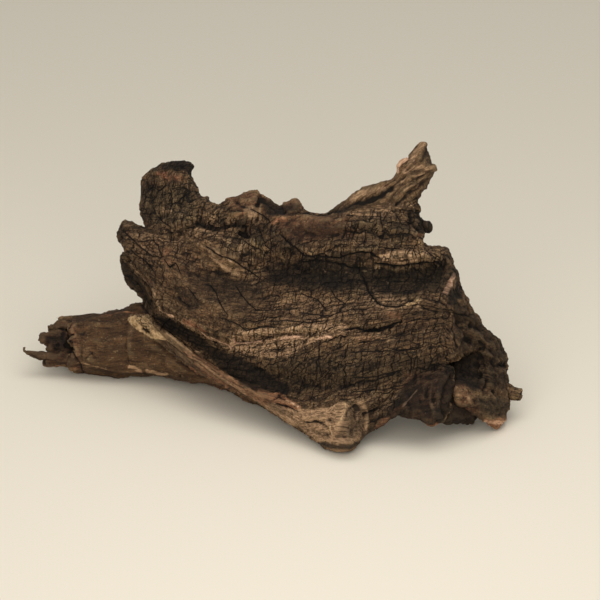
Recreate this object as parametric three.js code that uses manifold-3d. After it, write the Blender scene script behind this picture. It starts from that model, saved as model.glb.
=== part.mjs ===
// A piece of driftwood: the weathered flare of a hardwood stump. A broad cracked face leans back
// over a broken limb that lies behind it on the left. It has a blunt horn at the top left, a
// pointed horn at the top right, a pale foot in front and torn root lobes at the lower right.
// It grew as one piece, so it is one solid. Millimetres, +Z up, standing on the plane Z = 0.
import * as THREE from "three";
import { ImprovedNoise } from "three/addons/math/ImprovedNoise.js";
import { mergeVertices } from "three/addons/utils/BufferGeometryUtils.js";
import Module from "manifold-3d";

// Driving dimensions.
const overallLength = 460; // from the longest splinter of the limb to the stub at the right
const faceLean = THREE.MathUtils.degToRad(24); // the drawing plane of the face leans back this far
const shellHalf = 13; // half the thickness of the upper shell
const bellyHalf = 16; // half the thickness of the belly under it
const flankTurn = 14; // length over which the flank on the right turns away
const footDip = 1.6; // how far the low points are worn flat

// The outlines are set out on the drawing plane of the face, in the pixels of the reference
// picture: x to the right and y downwards.
const picture = { left: 21, right: 522.5, middle: 272, footY: 452 };
const scale = overallLength / (picture.right - picture.left);

// A point of the drawing plane, raised towards the viewer by `out` millimetres, in the part's frame.
function onFace(x, y, out) {
  const across = (x - picture.middle) * scale;
  const up = (picture.footY - y) * scale;
  return new THREE.Vector3(
    across,
    up * Math.sin(faceLean) - out * Math.cos(faceLean),
    up * Math.cos(faceLean) + out * Math.sin(faceLean),
  );
}

// How far out a round limb of that radius lies when it rests on the table at picture height y.
function restingOut(y, radius, lift = 0) {
  const up = (picture.footY - y) * scale;
  return (radius + lift - up * Math.cos(faceLean)) / Math.sin(faceLean);
}

const noiseSource = new ImprovedNoise();
const rough = (point, size, seed = 0) =>
  noiseSource.noise(point.x / size + seed, point.y / size + 7.3, point.z / size - seed);

const smooth = THREE.MathUtils.smoothstep;
const clamp = THREE.MathUtils.clamp;

function distanceToSegment(x, y, [ax, ay], [bx, by]) {
  const lengthSquared = (bx - ax) ** 2 + (by - ay) ** 2 || 1;
  const t = clamp(((x - ax) * (bx - ax) + (y - ay) * (by - ay)) / lengthSquared, 0, 1);
  return Math.hypot(x - ax - t * (bx - ax), y - ay - t * (by - ay));
}

const distanceToLine = (x, y, line) =>
  Math.min(...line.slice(1).map((end, i) => distanceToSegment(x, y, line[i], end)));

// Swells (positive) and hollows (negative) of the face: a line in picture pixels, its rise in
// millimetres and its half width in pixels.
const swells = [
  { line: [[268, 224], [300, 219], [340, 221], [382, 226], [412, 232]], rise: 8, wide: 10 },
  { line: [[285, 246], [320, 249], [355, 245], [385, 254], [415, 257], [448, 256]], rise: 8, wide: 8 },
  { line: [[246, 262], [280, 270], [320, 274], [360, 274], [400, 277], [436, 274]], rise: -13, wide: 12 },
  { line: [[170, 262], [205, 300], [250, 320], [325, 325], [400, 308], [448, 300]], rise: 9, wide: 18 },
  { line: [[240, 352], [275, 360], [320, 358], [380, 350], [430, 335]], rise: 7, wide: 18 },
  { line: [[262, 374], [300, 386], [350, 390], [400, 382], [438, 366]], rise: -9, wide: 11 },
  { line: [[186, 230], [210, 242], [242, 266]], rise: 8, wide: 8 },
  { line: [[178, 234], [200, 226], [230, 226], [262, 230]], rise: -9, wide: 6 },
  { line: [[190, 276], [215, 279], [252, 280]], rise: -7, wide: 9 },
  { line: [[256, 217], [280, 223], [302, 214]], rise: -10, wide: 5 },
  { line: [[243, 233], [244, 234]], rise: -8, wide: 7 },
  { line: [[174, 296], [182, 304]], rise: -7, wide: 9 },
  { line: [[124, 228], [140, 246], [160, 262]], rise: 5, wide: 12 },
  { line: [[345, 203], [372, 195], [402, 182], [418, 170]], rise: -6, wide: 5 },
  { line: [[396, 196], [408, 180], [424, 160]], rise: 5, wide: 7 },
  { line: [[150, 190], [152, 215]], rise: -5, wide: 9 },
  { line: [[172, 176], [178, 214]], rise: 5, wide: 10 },
  { line: [[352, 410], [358, 426]], rise: -8, wide: 7 },
  { line: [[333, 408], [344, 411], [342, 421], [332, 432]], rise: 4, wide: 5 },
  { line: [[250, 390], [290, 404], [318, 414]], rise: 4, wide: 5 },
  { line: [[463, 300], [466, 352]], rise: -6, wide: 6 },
  { line: [[478, 318], [486, 350]], rise: 5, wide: 9 },
];

const bell = (distance, wide) => Math.exp(-((distance / wide) ** 2));
const swell = (x, y) =>
  swells.reduce((sum, { line, rise, wide }) => sum + rise * bell(distanceToLine(x, y, line), wide), 0);

// The lie of the whole face: it leans back further towards the top, its left side swings away
// from the viewer and the flank on the right turns away behind a vertical fold.
function lie(x, y) {
  const swingStart = 345;
  const foldX = 444;
  const left = Math.max(0, swingStart - x) * scale;
  const right = Math.max(0, x - foldX) * scale;
  const up = (picture.footY - y) * scale;
  return -0.45 * left - 0.2 * up - (1.1 * right ** 2) / (right + flankTurn);
}

const bodyOf = (geometry) => {
  const bare = geometry.index ? geometry.toNonIndexed() : geometry;
  const corners = new THREE.BufferGeometry().setAttribute("position", bare.getAttribute("position"));
  const merged = mergeVertices(corners, 1e-4);
  const mesh = new wasm.Mesh({
    numProp: 3,
    vertProperties: merged.attributes.position.array,
    triVerts: new Uint32Array(merged.index.array),
  });
  return new wasm.Manifold(mesh);
};

function geometryOf(points, faces) {
  return new THREE.BufferGeometry().setFromPoints(points).setIndex(faces.flat());
}

const at = (value, x, y) => (typeof value === "number" ? value : value(x, y));

// A curved plate between two edges. Each station is [point on edge A, point on edge B]; `rows`
// points lie between them. It is `half` millimetres thick each way at most and thins to nothing at
// its outline, over `round` pixels along edge A and `roundB` pixels along edge B. `out(x, y)` is the
// height of its middle over the drawing plane, and `backing` says how many times thicker it is at
// the back. `half` and `round` may vary over the picture.
function plate({ stations, rows, half, round, roundB = round, out, backing = 1 }) {
  const outline = [...stations.map(([a]) => a), ...stations.map(([, b]) => b).reverse()];
  outline.push(outline[0]);
  const area = outline.slice(1).reduce((sum, [x, y], i) => sum + outline[i][0] * y - x * outline[i][1], 0);
  const last = stations.length - 1;
  const points = [];
  const index = { front: [], back: [] };
  stations.forEach(([a, b], i) => {
    index.front.push([]);
    index.back.push([]);
    for (let j = 0; j <= rows; j++) {
      const even = j / rows;
      const share = 0.7 * even + 0.3 * (0.5 - 0.5 * Math.cos(Math.PI * even)); // closer rows at the edges
      const x = a[0] + (b[0] - a[0]) * share;
      const y = a[1] + (b[1] - a[1]) * share;
      const onEdge = i === 0 || i === last || j === 0 || j === rows;
      const reach = at(round, x, y) * (1 - even) + at(roundB, x, y) * even;
      const inward = onEdge ? 0 : clamp(distanceToLine(x, y, outline) / reach, 0, 1);
      const fullness = Math.sqrt(1 - (1 - inward) ** 2);
      const middle = out(x, y);
      const thick = at(half, x, y);
      const skin = rough(new THREE.Vector3(x, y, 0), 26, rows);
      index.front[i].push(points.length);
      points.push(onFace(x, y, middle + fullness * (thick + swell(x, y) + 3 * skin)));
      if (onEdge) {
        index.back[i].push(points.length - 1);
      } else {
        const lumps = 7 * rough(new THREE.Vector3(x, y, 0), 34, 20 + rows);
        index.back[i].push(points.length);
        points.push(onFace(x, y, middle - fullness * Math.max(3, thick * backing + lumps)));
      }
    }
  });
  const faces = [];
  const outward = area < 0 ? 1 : -1;
  for (let i = 0; i < last; i++)
    for (let j = 0; j < rows; j++)
      for (const [side, turn] of [["front", outward], ["back", -outward]]) {
        const grid = index[side];
        const quad = [grid[i][j], grid[i + 1][j], grid[i + 1][j + 1], grid[i][j + 1]];
        if (turn < 0) quad.reverse();
        faces.push([quad[0], quad[1], quad[2]], [quad[0], quad[2], quad[3]]);
      }
  const whole = faces.filter(([p, q, r]) => p !== q && q !== r && r !== p);
  return geometryOf(points, whole);
}

// Stations of a plate whose lower and upper edges both run from left to right: one station at each
// corner of either edge, but none closer than `gap` pixels to the last.
function stationsAcross(lower, upper, gap = 3.2) {
  const heightAt = (edge, x) => {
    const end = clamp(edge.findIndex((point) => point[0] >= x), 1, edge.length - 1);
    const [[x0, y0], [x1, y1]] = [edge[end - 1], edge[end]];
    return y0 + (y1 - y0) * clamp((x - x0) / (x1 - x0 || 1), 0, 1);
  };
  const corners = [...lower, ...upper].map(([x]) => x).sort((p, q) => p - q);
  const end = corners[corners.length - 1];
  const kept = [corners[0]];
  for (const x of corners) if (x - kept[kept.length - 1] >= gap && x < end - gap) kept.push(x);
  return [...kept, end].map((x) => [[x, heightAt(lower, x)], [x, heightAt(upper, x)]]);
}

// A round limb along points of [x, y, out, radius in pixels]. `flat` squeezes its section in one
// direction, `lumps` is the share of the radius that its surface wanders by, `flutes` is the share
// that hollows along the grain take, and `ragged` is how far the torn end at its start runs in and
// out, in millimetres.
function limb({ path, rings, sides, flat = 1, turn = 0, lumps = 0, flutes = 0, ragged = 0, bluntEnd = 0.4 }) {
  const spots = path.map(([x, y, out]) => onFace(x, y, out));
  const curve = new THREE.CatmullRomCurve3(spots, false, "centripetal");
  const radii = new THREE.SplineCurve(path.map(([, , , radius], i) => new THREE.Vector2(i, radius * scale)));
  const frames = curve.computeFrenetFrames(rings, false);
  const points = [];
  for (let i = 0; i <= rings; i++) {
    const centre = curve.getPointAt(i / rings);
    const radius = radii.getPoint(curve.getUtoTmapping(i / rings)).y;
    for (let j = 0; j < sides; j++) {
      const angle = (2 * Math.PI * j) / sides;
      const across = new THREE.Vector3()
        .addScaledVector(frames.normals[i], Math.cos(angle + turn))
        .addScaledVector(frames.binormals[i], Math.sin(angle + turn) * flat);
      const spot = centre.clone().addScaledVector(across, radius);
      const swing = rough(spot, Math.max(9, radius * 0.9), 3) + 0.5 * rough(spot, 9, 11);
      const groove = rough(new THREE.Vector3(4 * Math.cos(angle), 4 * Math.sin(angle), i / 9), 2, 5);
      spot.copy(centre).addScaledVector(across, radius * (1 + lumps * 2 * swing + flutes * groove));
      const tear = Math.sin(angle * 7 + 2 * Math.sin(angle * 3));
      if (i === 0) spot.addScaledVector(frames.tangents[0], ragged * tear);
      points.push(spot);
    }
  }
  const [start, finish] = [0, rings].map((i) => curve.getPoint(i / rings));
  const firstRadius = radii.getPoint(0).y;
  const lastRadius = radii.getPoint(1).y;
  points.push(start.addScaledVector(frames.tangents[0], ragged ? ragged * 1.5 : -firstRadius * bluntEnd));
  points.push(finish.addScaledVector(frames.tangents[rings], lastRadius * bluntEnd));
  const faces = [];
  for (let i = 0; i < rings; i++)
    for (let j = 0; j < sides; j++) {
      const next = (j + 1) % sides;
      const [p, q, r, s] = [i * sides + j, i * sides + next, (i + 1) * sides + next, (i + 1) * sides + j];
      faces.push([p, q, r], [p, r, s]);
    }
  for (let j = 0; j < sides; j++) {
    const next = (j + 1) % sides;
    faces.push([points.length - 2, next, j], [points.length - 1, rings * sides + j, rings * sides + next]);
  }
  return geometryOf(points, faces);
}

// Upper shell: the cracked face from the lobe at the left to the ledge at the right. Its lower
// edge is torn and stands proud of the belly.
const shellLower = [
  [116, 236], [118, 242], [124, 250.5], [133, 262], [143, 272], [150, 283], [154, 295], [159, 308],
  [168, 313], [178, 320], [190, 328], [203, 335], [212, 339], [222, 343], [232, 346.5], [236, 341],
  [247, 342], [260, 342], [272, 339], [286, 337], [300, 336.5], [318, 335], [330, 337], [340, 334],
  [350, 330], [370, 331], [385, 328], [400, 322], [420, 318], [440, 312], [453, 303],
];
const shellUpper = [
  [116, 233], [119, 223], [124, 220.5], [131, 222], [138, 224.5], [145, 227], [152, 225], [165, 214],
  [185, 203], [200, 198], [206.5, 199], [212, 203], [219, 205], [225, 201.5], [231, 196.5], [240, 198],
  [245, 193], [250, 190.5], [257, 191], [262, 194.5], [270, 199], [279, 205], [284, 202.5], [288, 200],
  [296, 200], [301, 203], [306, 210], [312, 212.5], [326, 214], [350, 211], [380, 207], [405, 209],
  [417, 220], [424, 243], [432, 247], [440, 246], [448, 248], [452, 251], [453, 261],
];
const shellOut = (x, y) => lie(x, y) + 13 - 7 * smooth(x, 200, 300) - 4 * smooth(x, 300, 400);
const shell = () =>
  plate({
    stations: stationsAcross(shellLower, shellUpper, 4.2),
    rows: 14,
    half: shellHalf,
    round: 7,
    roundB: 15,
    out: shellOut,
    backing: 1.5,
  });

// Belly: the layer under the shell. It shows as a dark lobe at the left, as the lower half of the
// face, and as the flank at the right, whose lower lip overhangs a cave.
const bellyLower = [
  [119, 258], [120.5, 263], [122, 270], [123, 280], [127, 287], [133, 292], [140, 300], [150, 318],
  [160, 328], [175, 342], [190, 354], [205, 365], [220, 377], [240, 387], [260, 394], [280, 403],
  [300, 412], [320, 419], [340, 420], [356, 418], [372, 410], [386, 401], [400, 393], [420, 380],
  [440, 367], [452, 361], [462, 358], [472, 352], [482, 350], [490, 356], [499, 363], [509, 366],
];
const bellyUpper = [
  [119, 256], [124, 251], [135, 257], [150, 264], [200, 284], [300, 298], [400, 290], [440, 274],
  [452.5, 263], [457, 270], [461, 278], [463, 291], [469, 296], [471, 303], [476, 312], [484, 322],
  [489, 330], [496, 337], [502, 343], [505, 353], [509, 361],
];
const bellyOut = (x, y) => lie(x, y) - 13 + 17 * smooth(x, 190, 380) - 5 * smooth(x, 440, 470);
const belly = () =>
  plate({
    stations: stationsAcross(bellyLower, bellyUpper, 5),
    rows: 14,
    half: bellyHalf,
    round: (x) => 12 + 12 * smooth(x, 340, 395) - 10 * smooth(x, 432, 456),
    roundB: 17,
    out: bellyOut,
    backing: 1.6,
  });

// Blunt horn at the top left, from its buried root to its broken top.
const bluntHorn = () =>
  plate({
    stations: [
      [[152, 244], [222, 238]], [[148, 234], [218, 222]], [[145, 227], [213, 209]],
      [[141, 219], [208, 201]], [[138.5, 210], [206, 197.5]], [[138.5, 203], [203, 195.5]],
      [[140, 196], [200, 191]], [[141, 187], [197, 185.5]], [[140.5, 179], [194, 180]],
      [[146, 172.5], [192, 175.5]], [[152, 167.5], [190.5, 171]], [[161, 163.5], [191, 166.5]],
      [[172, 161.5], [188, 161.5]],
    ],
    rows: 13,
    half: 15,
    round: 16,
    out: (x, y) => lie(x, y) + 5 - 14 * (1 - smooth(y, 160, 240)),
  });

// Pointed horn at the top right, a ridge that twists up to a bleached tip.
const pointedHorn = () =>
  plate({
    stations: [
      [[322, 222], [421, 248]], [[326, 214], [424, 243]], [[335, 208], [424, 236]],
      [[341, 202.5], [421, 226]], [[348, 198.5], [419, 218]], [[357, 190.5], [423, 211]],
      [[366, 187], [422, 205]], [[376, 184], [419, 199.5]], [[385, 181.5], [424, 194]],
      [[391, 180], [428, 190]], [[396, 175], [432, 182]], [[399.5, 171], [434, 174.5]],
      [[399, 165], [437, 168.5]], [[402, 161], [432, 163.5]], [[409, 159.5], [430.5, 157]],
      [[411, 153], [429, 152]], [[415, 147], [427, 148]], [[420, 143], [427.5, 144.5]],
      [[423, 141.5], [426.5, 142]],
    ],
    rows: 11,
    half: 11,
    round: 14,
    out: (x, y) => lie(x, y) + 3 + 10 * (1 - smooth(y, 140, 210)),
  });

// Torn root lobes under the flank: a fibrous flap beside the foot, a dark knot, and the large lobe
// whose upper part is the back wall of the cave.
const flap = () =>
  plate({
    stations: stationsAcross(
      [
        [350, 436], [362, 436], [368, 433.5], [375, 430], [381, 426], [388, 421], [395, 417], [400, 415],
        [406, 418], [414, 420.5], [421, 420.5], [428, 425.5], [434, 426], [438, 422], [443, 418],
        [449, 405], [454, 385],
      ],
      [[350, 412], [366, 402], [380, 396], [400, 384], [420, 370], [440, 362], [454, 368]],
    ),
    rows: 9,
    half: 12,
    round: 12,
    out: (x, y) => lie(x, y) - 8 + 14 * smooth(x, 372, 410),
  });
const knot = () =>
  plate({
    stations: stationsAcross(
      [[438, 408], [448, 422], [455, 423], [465, 424.5], [473, 423], [480, 414]],
      [[438, 384], [448, 372], [460, 368], [472, 372], [480, 384]],
    ),
    rows: 6,
    half: 13,
    round: 11,
    out: (x, y) => lie(x, y) - 13,
  });
const rootLobe = () =>
  plate({
    stations: stationsAcross(
      [
        [451, 392], [458, 405], [470, 411], [479, 417.5], [486, 422], [491, 427], [497, 428], [503, 425],
        [509, 418], [510, 410],
      ],
      [
        [451, 372], [458, 352], [468, 340], [482, 330], [494, 336], [502, 346], [507, 358], [510, 378],
        [510.5, 396], [510, 406],
      ],
    ),
    rows: 10,
    half: 14,
    round: 14,
    out: (x, y) => lie(x, y) - 21 + 24 * Math.max(smooth(y, 366, 396), smooth(x, 474, 490)),
  });

// Short dead twig at the far right, and the charred peg beside the pointed horn.
const stub = () =>
  limb({
    path: [[494, 383, -58, 9], [505, 387, -60, 7], [513, 391.5, -61, 6.3], [521, 393, -62, 5.4]],
    rings: 7,
    sides: 10,
    bluntEnd: 0.3,
    lumps: 0.14,
  });
const peg = () =>
  limb({
    path: [[398, 224, -42, 9], [413, 225, -44, 7], [424, 227, -46, 5.4], [429.5, 227.5, -47, 4.4]],
    rings: 6,
    sides: 8,
    bluntEnd: 0.5,
    lumps: 0.1,
  });

// Broken limb: it rests on the table at the left, runs behind the face and fades into its back.
// The first part is given as [x, y, radius, height of the underside over the table].
const limbPath = [
  [72, 345, 29.5, -footDip], [90, 344.5, 30.5, -footDip], [115, 343, 34, -footDip],
  [135, 340.5, 36.5, -footDip], [155, 339, 38, 1.5], [180, 342, 37, 3], [205, 348, 36.5, 4.5],
  [230, 351, 36, 6],
];
const limbBehind = [[270, 342, -98, 35], [315, 325, -82, 30], [360, 305, -72, 24], [400, 290, -66, 15]];
const limbForward = [
  [180, 345, 30], [210, 355, 28], [240, 368, 26], [272, 384, 26], [304, 400, 26], [330, 414, 24],
];
const brokenLimb = () =>
  limb({
    path: [
      ...limbPath.map(([x, y, radius, lift]) => [x, y, restingOut(y, radius * scale, lift), radius]),
      ...limbBehind,
    ],
    rings: 34,
    sides: 24,
    lumps: 0.05,
    flutes: 0.1,
    ragged: 4,
  });

// The same limb's lower half runs on along the table to the foot.
const footLimb = () =>
  limb({
    path: limbForward.map(([x, y, radius]) => [x, y, restingOut(y, radius * scale, 1.5), radius]),
    rings: 12,
    sides: 16,
    lumps: 0.08,
    flutes: 0.12,
  });

// Splinters of the torn core that stand out of the limb's end: [x, y, radius] at root, middle, tip.
const splinters = [
  { spots: [[86, 326, 10], [68, 326, 8], [55, 326, 6]], nearer: 2, flat: 0.9 },
  { spots: [[84, 320, 5], [66, 320, 4], [57, 319, 1.6]], nearer: -8, flat: 0.7 },
  { spots: [[88, 339, 10], [64, 338.5, 7], [40, 339, 3.8]], nearer: 6, flat: 0.9 },
  { spots: [[88, 348, 12], [66, 347, 10], [48, 347.5, 6]], nearer: -16, flat: 0.9 },
  { spots: [[90, 360, 9], [66, 360.5, 7], [44, 361.5, 5]], nearer: 6, flat: 1.1 },
  { spots: [[72, 357, 5], [46, 356, 3.6], [24, 352, 1.4]], nearer: 10, flat: 0.7 },
  { spots: [[84, 333, 10], [66, 334, 9], [49, 334, 5]], nearer: -20, flat: 0.9 },
];
const limbOut = restingOut(limbPath[0][1], limbPath[0][2] * scale);
const splinterLimbs = () =>
  splinters.map(({ spots, nearer, flat }) =>
    limb({
      path: spots.map(([x, y, radius]) => [x, y, limbOut + nearer, radius]),
      rings: 5,
      sides: 7,
      flat,
      turn: 0.4,
      lumps: 0.14,
    }),
  );

// Cord of root along the lower left edge of the face, which swells into the pale foot.
const cordLower = [
  [138, 318], [150, 334], [165, 349], [180, 360.5], [200, 373.5], [215, 383], [224, 387], [240, 394],
  [250, 397], [260, 404], [272, 414], [290, 425], [308, 436], [320, 445], [330, 451], [338, 452],
  [348, 452], [356, 448], [363, 442], [365, 434],
];
const cordUpper = [
  [138, 314], [152, 318], [163, 329], [174, 338], [186, 348], [200, 358], [214, 368], [230, 376],
  [250, 383], [266, 389], [285, 396], [300, 400], [320, 398], [340, 395], [352, 398], [361, 408],
  [365, 420],
];
const cord = () =>
  plate({
    stations: stationsAcross(cordLower, cordUpper, 5.5),
    rows: 7,
    half: (x) => 12 + 6 * smooth(x, 270, 335),
    round: 8,
    roundB: 8,
    out: (x, y) => lie(x, y) + 3 + 5 * smooth(x, 280, 335) - 10 * smooth(x, 350, 366),
  });
const foot = () =>
  limb({
    path: [
      [330, 404, -12, 20], [340, 414, -8, 21], [346, 425, restingOut(425, 20 * scale, 1), 20],
      [347, 434, restingOut(434, 16 * scale, -footDip), 16],
    ],
    rings: 7,
    sides: 14,
    lumps: 0.1,
    bluntEnd: 0.15,
  });

// Hidden heel: a root behind the flank that carries the right side. [x, y, out, radius]
const heel = () =>
  limb({
    path: [
      [400, 312, -34, 34], [426, 336, -60, 29], [446, 362, -86, 24], [455, 384, -100, 20],
      [457, 402, -108, 17],
    ],
    rings: 12,
    sides: 15,
    lumps: 0.1,
    flutes: 0.16,
    bluntEnd: 0.3,
  });

const wasm = await Module();
wasm.setup();

const pieces = [
  shell(), belly(), bluntHorn(), pointedHorn(), flap(), knot(), rootLobe(), stub(), peg(),
  brokenLimb(), footLimb(), ...splinterLimbs(), cord(), foot(), heel(),
];
const table = new THREE.BoxGeometry(1000, 1000, 100).translate(0, 0, -50);
const grown = pieces.map(bodyOf).reduce((whole, piece) => whole.add(piece));
const worn = grown.subtract(bodyOf(table));

const { numProp, vertProperties, triVerts } = worn.getMesh();
const positions = new Float32Array((vertProperties.length / numProp) * 3);
for (let i = 0; i < positions.length / 3; i++)
  positions.set(vertProperties.subarray(i * numProp, i * numProp + 3), i * 3);
const woodGeometry = new THREE.BufferGeometry()
  .setAttribute("position", new THREE.BufferAttribute(positions, 3))
  .setIndex(new THREE.BufferAttribute(triVerts, 1));

// The origin is under the middle of the piece, on the table.
woodGeometry.computeBoundingBox();
const middle = woodGeometry.boundingBox.getCenter(new THREE.Vector3());
woodGeometry.translate(-middle.x, -middle.y, 0);
woodGeometry.computeVertexNormals();

const weatheredWood = new THREE.MeshStandardMaterial({ color: 0x4a382b, roughness: 0.9, metalness: 0 });
const wood = new THREE.Mesh(woodGeometry, weatheredWood);
wood.name = "driftwood";

const driftwood = new THREE.Group();
driftwood.add(wood);

export default driftwood;
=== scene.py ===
import math

import bmesh
import bpy
import numpy as np
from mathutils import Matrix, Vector


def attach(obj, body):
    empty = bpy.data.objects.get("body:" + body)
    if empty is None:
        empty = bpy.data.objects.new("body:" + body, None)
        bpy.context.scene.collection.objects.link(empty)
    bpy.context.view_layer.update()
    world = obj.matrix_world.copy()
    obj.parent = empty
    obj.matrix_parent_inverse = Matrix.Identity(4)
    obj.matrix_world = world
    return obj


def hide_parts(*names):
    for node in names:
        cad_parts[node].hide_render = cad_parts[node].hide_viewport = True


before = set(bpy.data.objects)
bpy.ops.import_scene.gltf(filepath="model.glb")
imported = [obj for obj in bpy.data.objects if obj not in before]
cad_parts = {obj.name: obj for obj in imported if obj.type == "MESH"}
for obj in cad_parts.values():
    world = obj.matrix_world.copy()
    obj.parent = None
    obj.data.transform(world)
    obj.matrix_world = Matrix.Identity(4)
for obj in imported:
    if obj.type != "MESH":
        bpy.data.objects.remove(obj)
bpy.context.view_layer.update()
print("frame loaded")

# The picture's own drawing plane, leaning back with the face of the wood. Marks on the face are
# placed on it in the picture's pixels, x to the right and y downwards.
picture = {
    "size": 600,
    "mmPerPixel": 460 / 501.5,
    "lean": math.radians(24),
    "middle": 272,
    "footY": 452,
    "origin": (-0.93, -110.65),  # where that point lies on the table, mm
}
faceNormal = (0, -math.cos(picture["lean"]), math.sin(picture["lean"]))


def toLinear(code):
    parts = [int(code[i:i + 2], 16) / 255 for i in (1, 3, 5)]
    return tuple(c / 12.92 if c <= 0.04045 else ((c + 0.055) / 1.055) ** 2.4 for c in parts)


def addNode(tree, kind, inputs=None, **settings):
    node = tree.nodes.new(kind)
    for name, value in settings.items():
        setattr(node, name, value)
    for name, value in (inputs or {}).items():
        if isinstance(value, bpy.types.Node):  # its first output in use
            value = next(socket for socket in value.outputs if socket.enabled)
        if isinstance(value, bpy.types.NodeSocket):
            tree.links.new(value, node.inputs[name])
        else:
            node.inputs[name].default_value = value
    return node


def smoothStep(low, high, value):
    t = np.clip((value - low) / (high - low), 0, 1)
    return t * t * (3 - 2 * t)


def wander(points, size, seed):  # smooth random field from -1 to 1, size in mm
    scaled = points / size + seed * 7.31
    cell = np.floor(scaled).astype(np.int64)
    part = scaled - cell
    part = part * part * (3 - 2 * part)
    total = np.zeros(len(points))
    for corner in range(8):
        step = np.array([(corner >> axis) & 1 for axis in range(3)])
        key = (cell + step) @ np.array([73856093, 19349663, 83492791]) + seed * 668265263
        key = ((key ^ (key >> 13)) * 1274126177) & 0x7FFFFFFF
        weight = np.prod(np.where(step, part, 1 - part), axis=1)
        total += weight * (((key ^ (key >> 16)) & 0xFFFF) / 32767.5 - 1)
    return total


def distanceTo(line, x, y):
    best = np.full(len(x), 1e9)
    for (ax, ay), (bx, by) in zip(line, line[1:]):
        length = (bx - ax) ** 2 + (by - ay) ** 2
        t = np.clip(((x - ax) * (bx - ax) + (y - ay) * (by - ay)) / length, 0, 1)
        best = np.minimum(best, (x - ax - t * (bx - ax)) ** 2 + (y - ay - t * (by - ay)) ** 2)
    return np.sqrt(best)


def depthInside(outline, x, y):  # distance to the outline in pixels, positive inside it
    ring = outline + outline[:1]
    inside = np.zeros(len(x), bool)
    for (ax, ay), (bx, by) in zip(ring, ring[1:]):
        crosses = (ay > y) != (by > y)
        inside ^= crosses & (x < (bx - ax) * (y - ay) / ((by - ay) or 1e-9) + ax)
    return np.where(inside, 1, -1) * distanceTo(ring, x, y)


wood = {
    "voxel": 0.0008,
    "triangles": 190000,
    "evening": 22,  # passes that take the facets out of the solid
    "limbEvening": 140,
    "limbStart": (72, 86),  # pixels over which that sets in, clear of the broken end
    "limbFoot": (2, 6),  # and mm above the table
    "swell": 0.7,  # mm that the evening took off, put back
    "bulgePasses": 30,  # how wide a dent or crest counts for dirt, wear and painted shade
    "keepSharp": [(30, 345, 50), (421, 150, 22), (518, 392, 10), (428, 228, 8)],  # x, y, reach
    "seenBehind": (9, 4),  # mm behind the nearest skin, from unseen to seen
    "seenTurn": (-0.4, -0.05),  # cosine of the turn towards the camera's side, from unseen to seen
    "ragged": [(1.4, 5, 3), (0.8, 2.2, 4)],  # pixels that edges stray, size in mm, seed
}


# Fibres that the break left standing: (line on the face in pixels, strands, spread in pixels,
# radius in mm). Each strand follows a part of its line.
bundles = [
    ([(160, 328), (172, 338), (186, 350), (200, 361), (216, 372), (232, 382), (250, 391),
      (268, 401)], 26, 3.4, 0.6),
    ([(186, 353), (202, 367), (220, 380), (238, 390), (256, 402), (270, 412)], 14, 2.4, 0.55),
    ([(244, 390), (262, 397), (280, 407), (300, 414), (320, 416)], 14, 4.5, 0.6),
    ([(290, 424), (302, 434), (316, 443), (332, 449), (346, 449)], 8, 1.6, 0.7),
    ([(272, 396), (280, 394), (286, 400)], 3, 1.5, 1.1),
    ([(280, 402), (290, 403), (299, 407)], 4, 1.5, 1.1),
    ([(282, 420), (300, 432), (318, 443), (336, 450), (352, 450)], 10, 2, 0.8),
    ([(160, 309), (172, 316), (188, 323), (204, 334)], 5, 1.6, 0.8),
    ([(206, 335), (220, 341), (233, 346)], 4, 1.2, 0.8),
    ([(236, 342), (256, 341), (284, 338), (304, 338), (330, 337), (348, 331)], 9, 1.4, 0.8),
    ([(374, 429), (388, 419), (402, 408), (414, 393)], 7, 1.6, 0.8),
    ([(418, 378), (420, 396), (424, 414)], 4, 3, 1.2),
    ([(430, 377), (430, 396), (434, 416)], 4, 3, 1.2),
    ([(416, 377), (430, 374), (446, 375)], 4, 1.6, 1),
    ([(482, 420), (494, 425), (506, 421)], 4, 1.4, 0.8),
    ([(506, 388), (514, 392), (520, 393)], 7, 3.4, 0.8),
    ([(398, 186), (412, 176), (424, 168), (426, 152)], 5, 5, 1),
    ([(350, 204), (366, 196), (384, 188), (400, 178)], 5, 4, 1),
    ([(64, 334), (70, 348), (76, 364), (82, 374)], 5, 1.6, 1),
]
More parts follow.
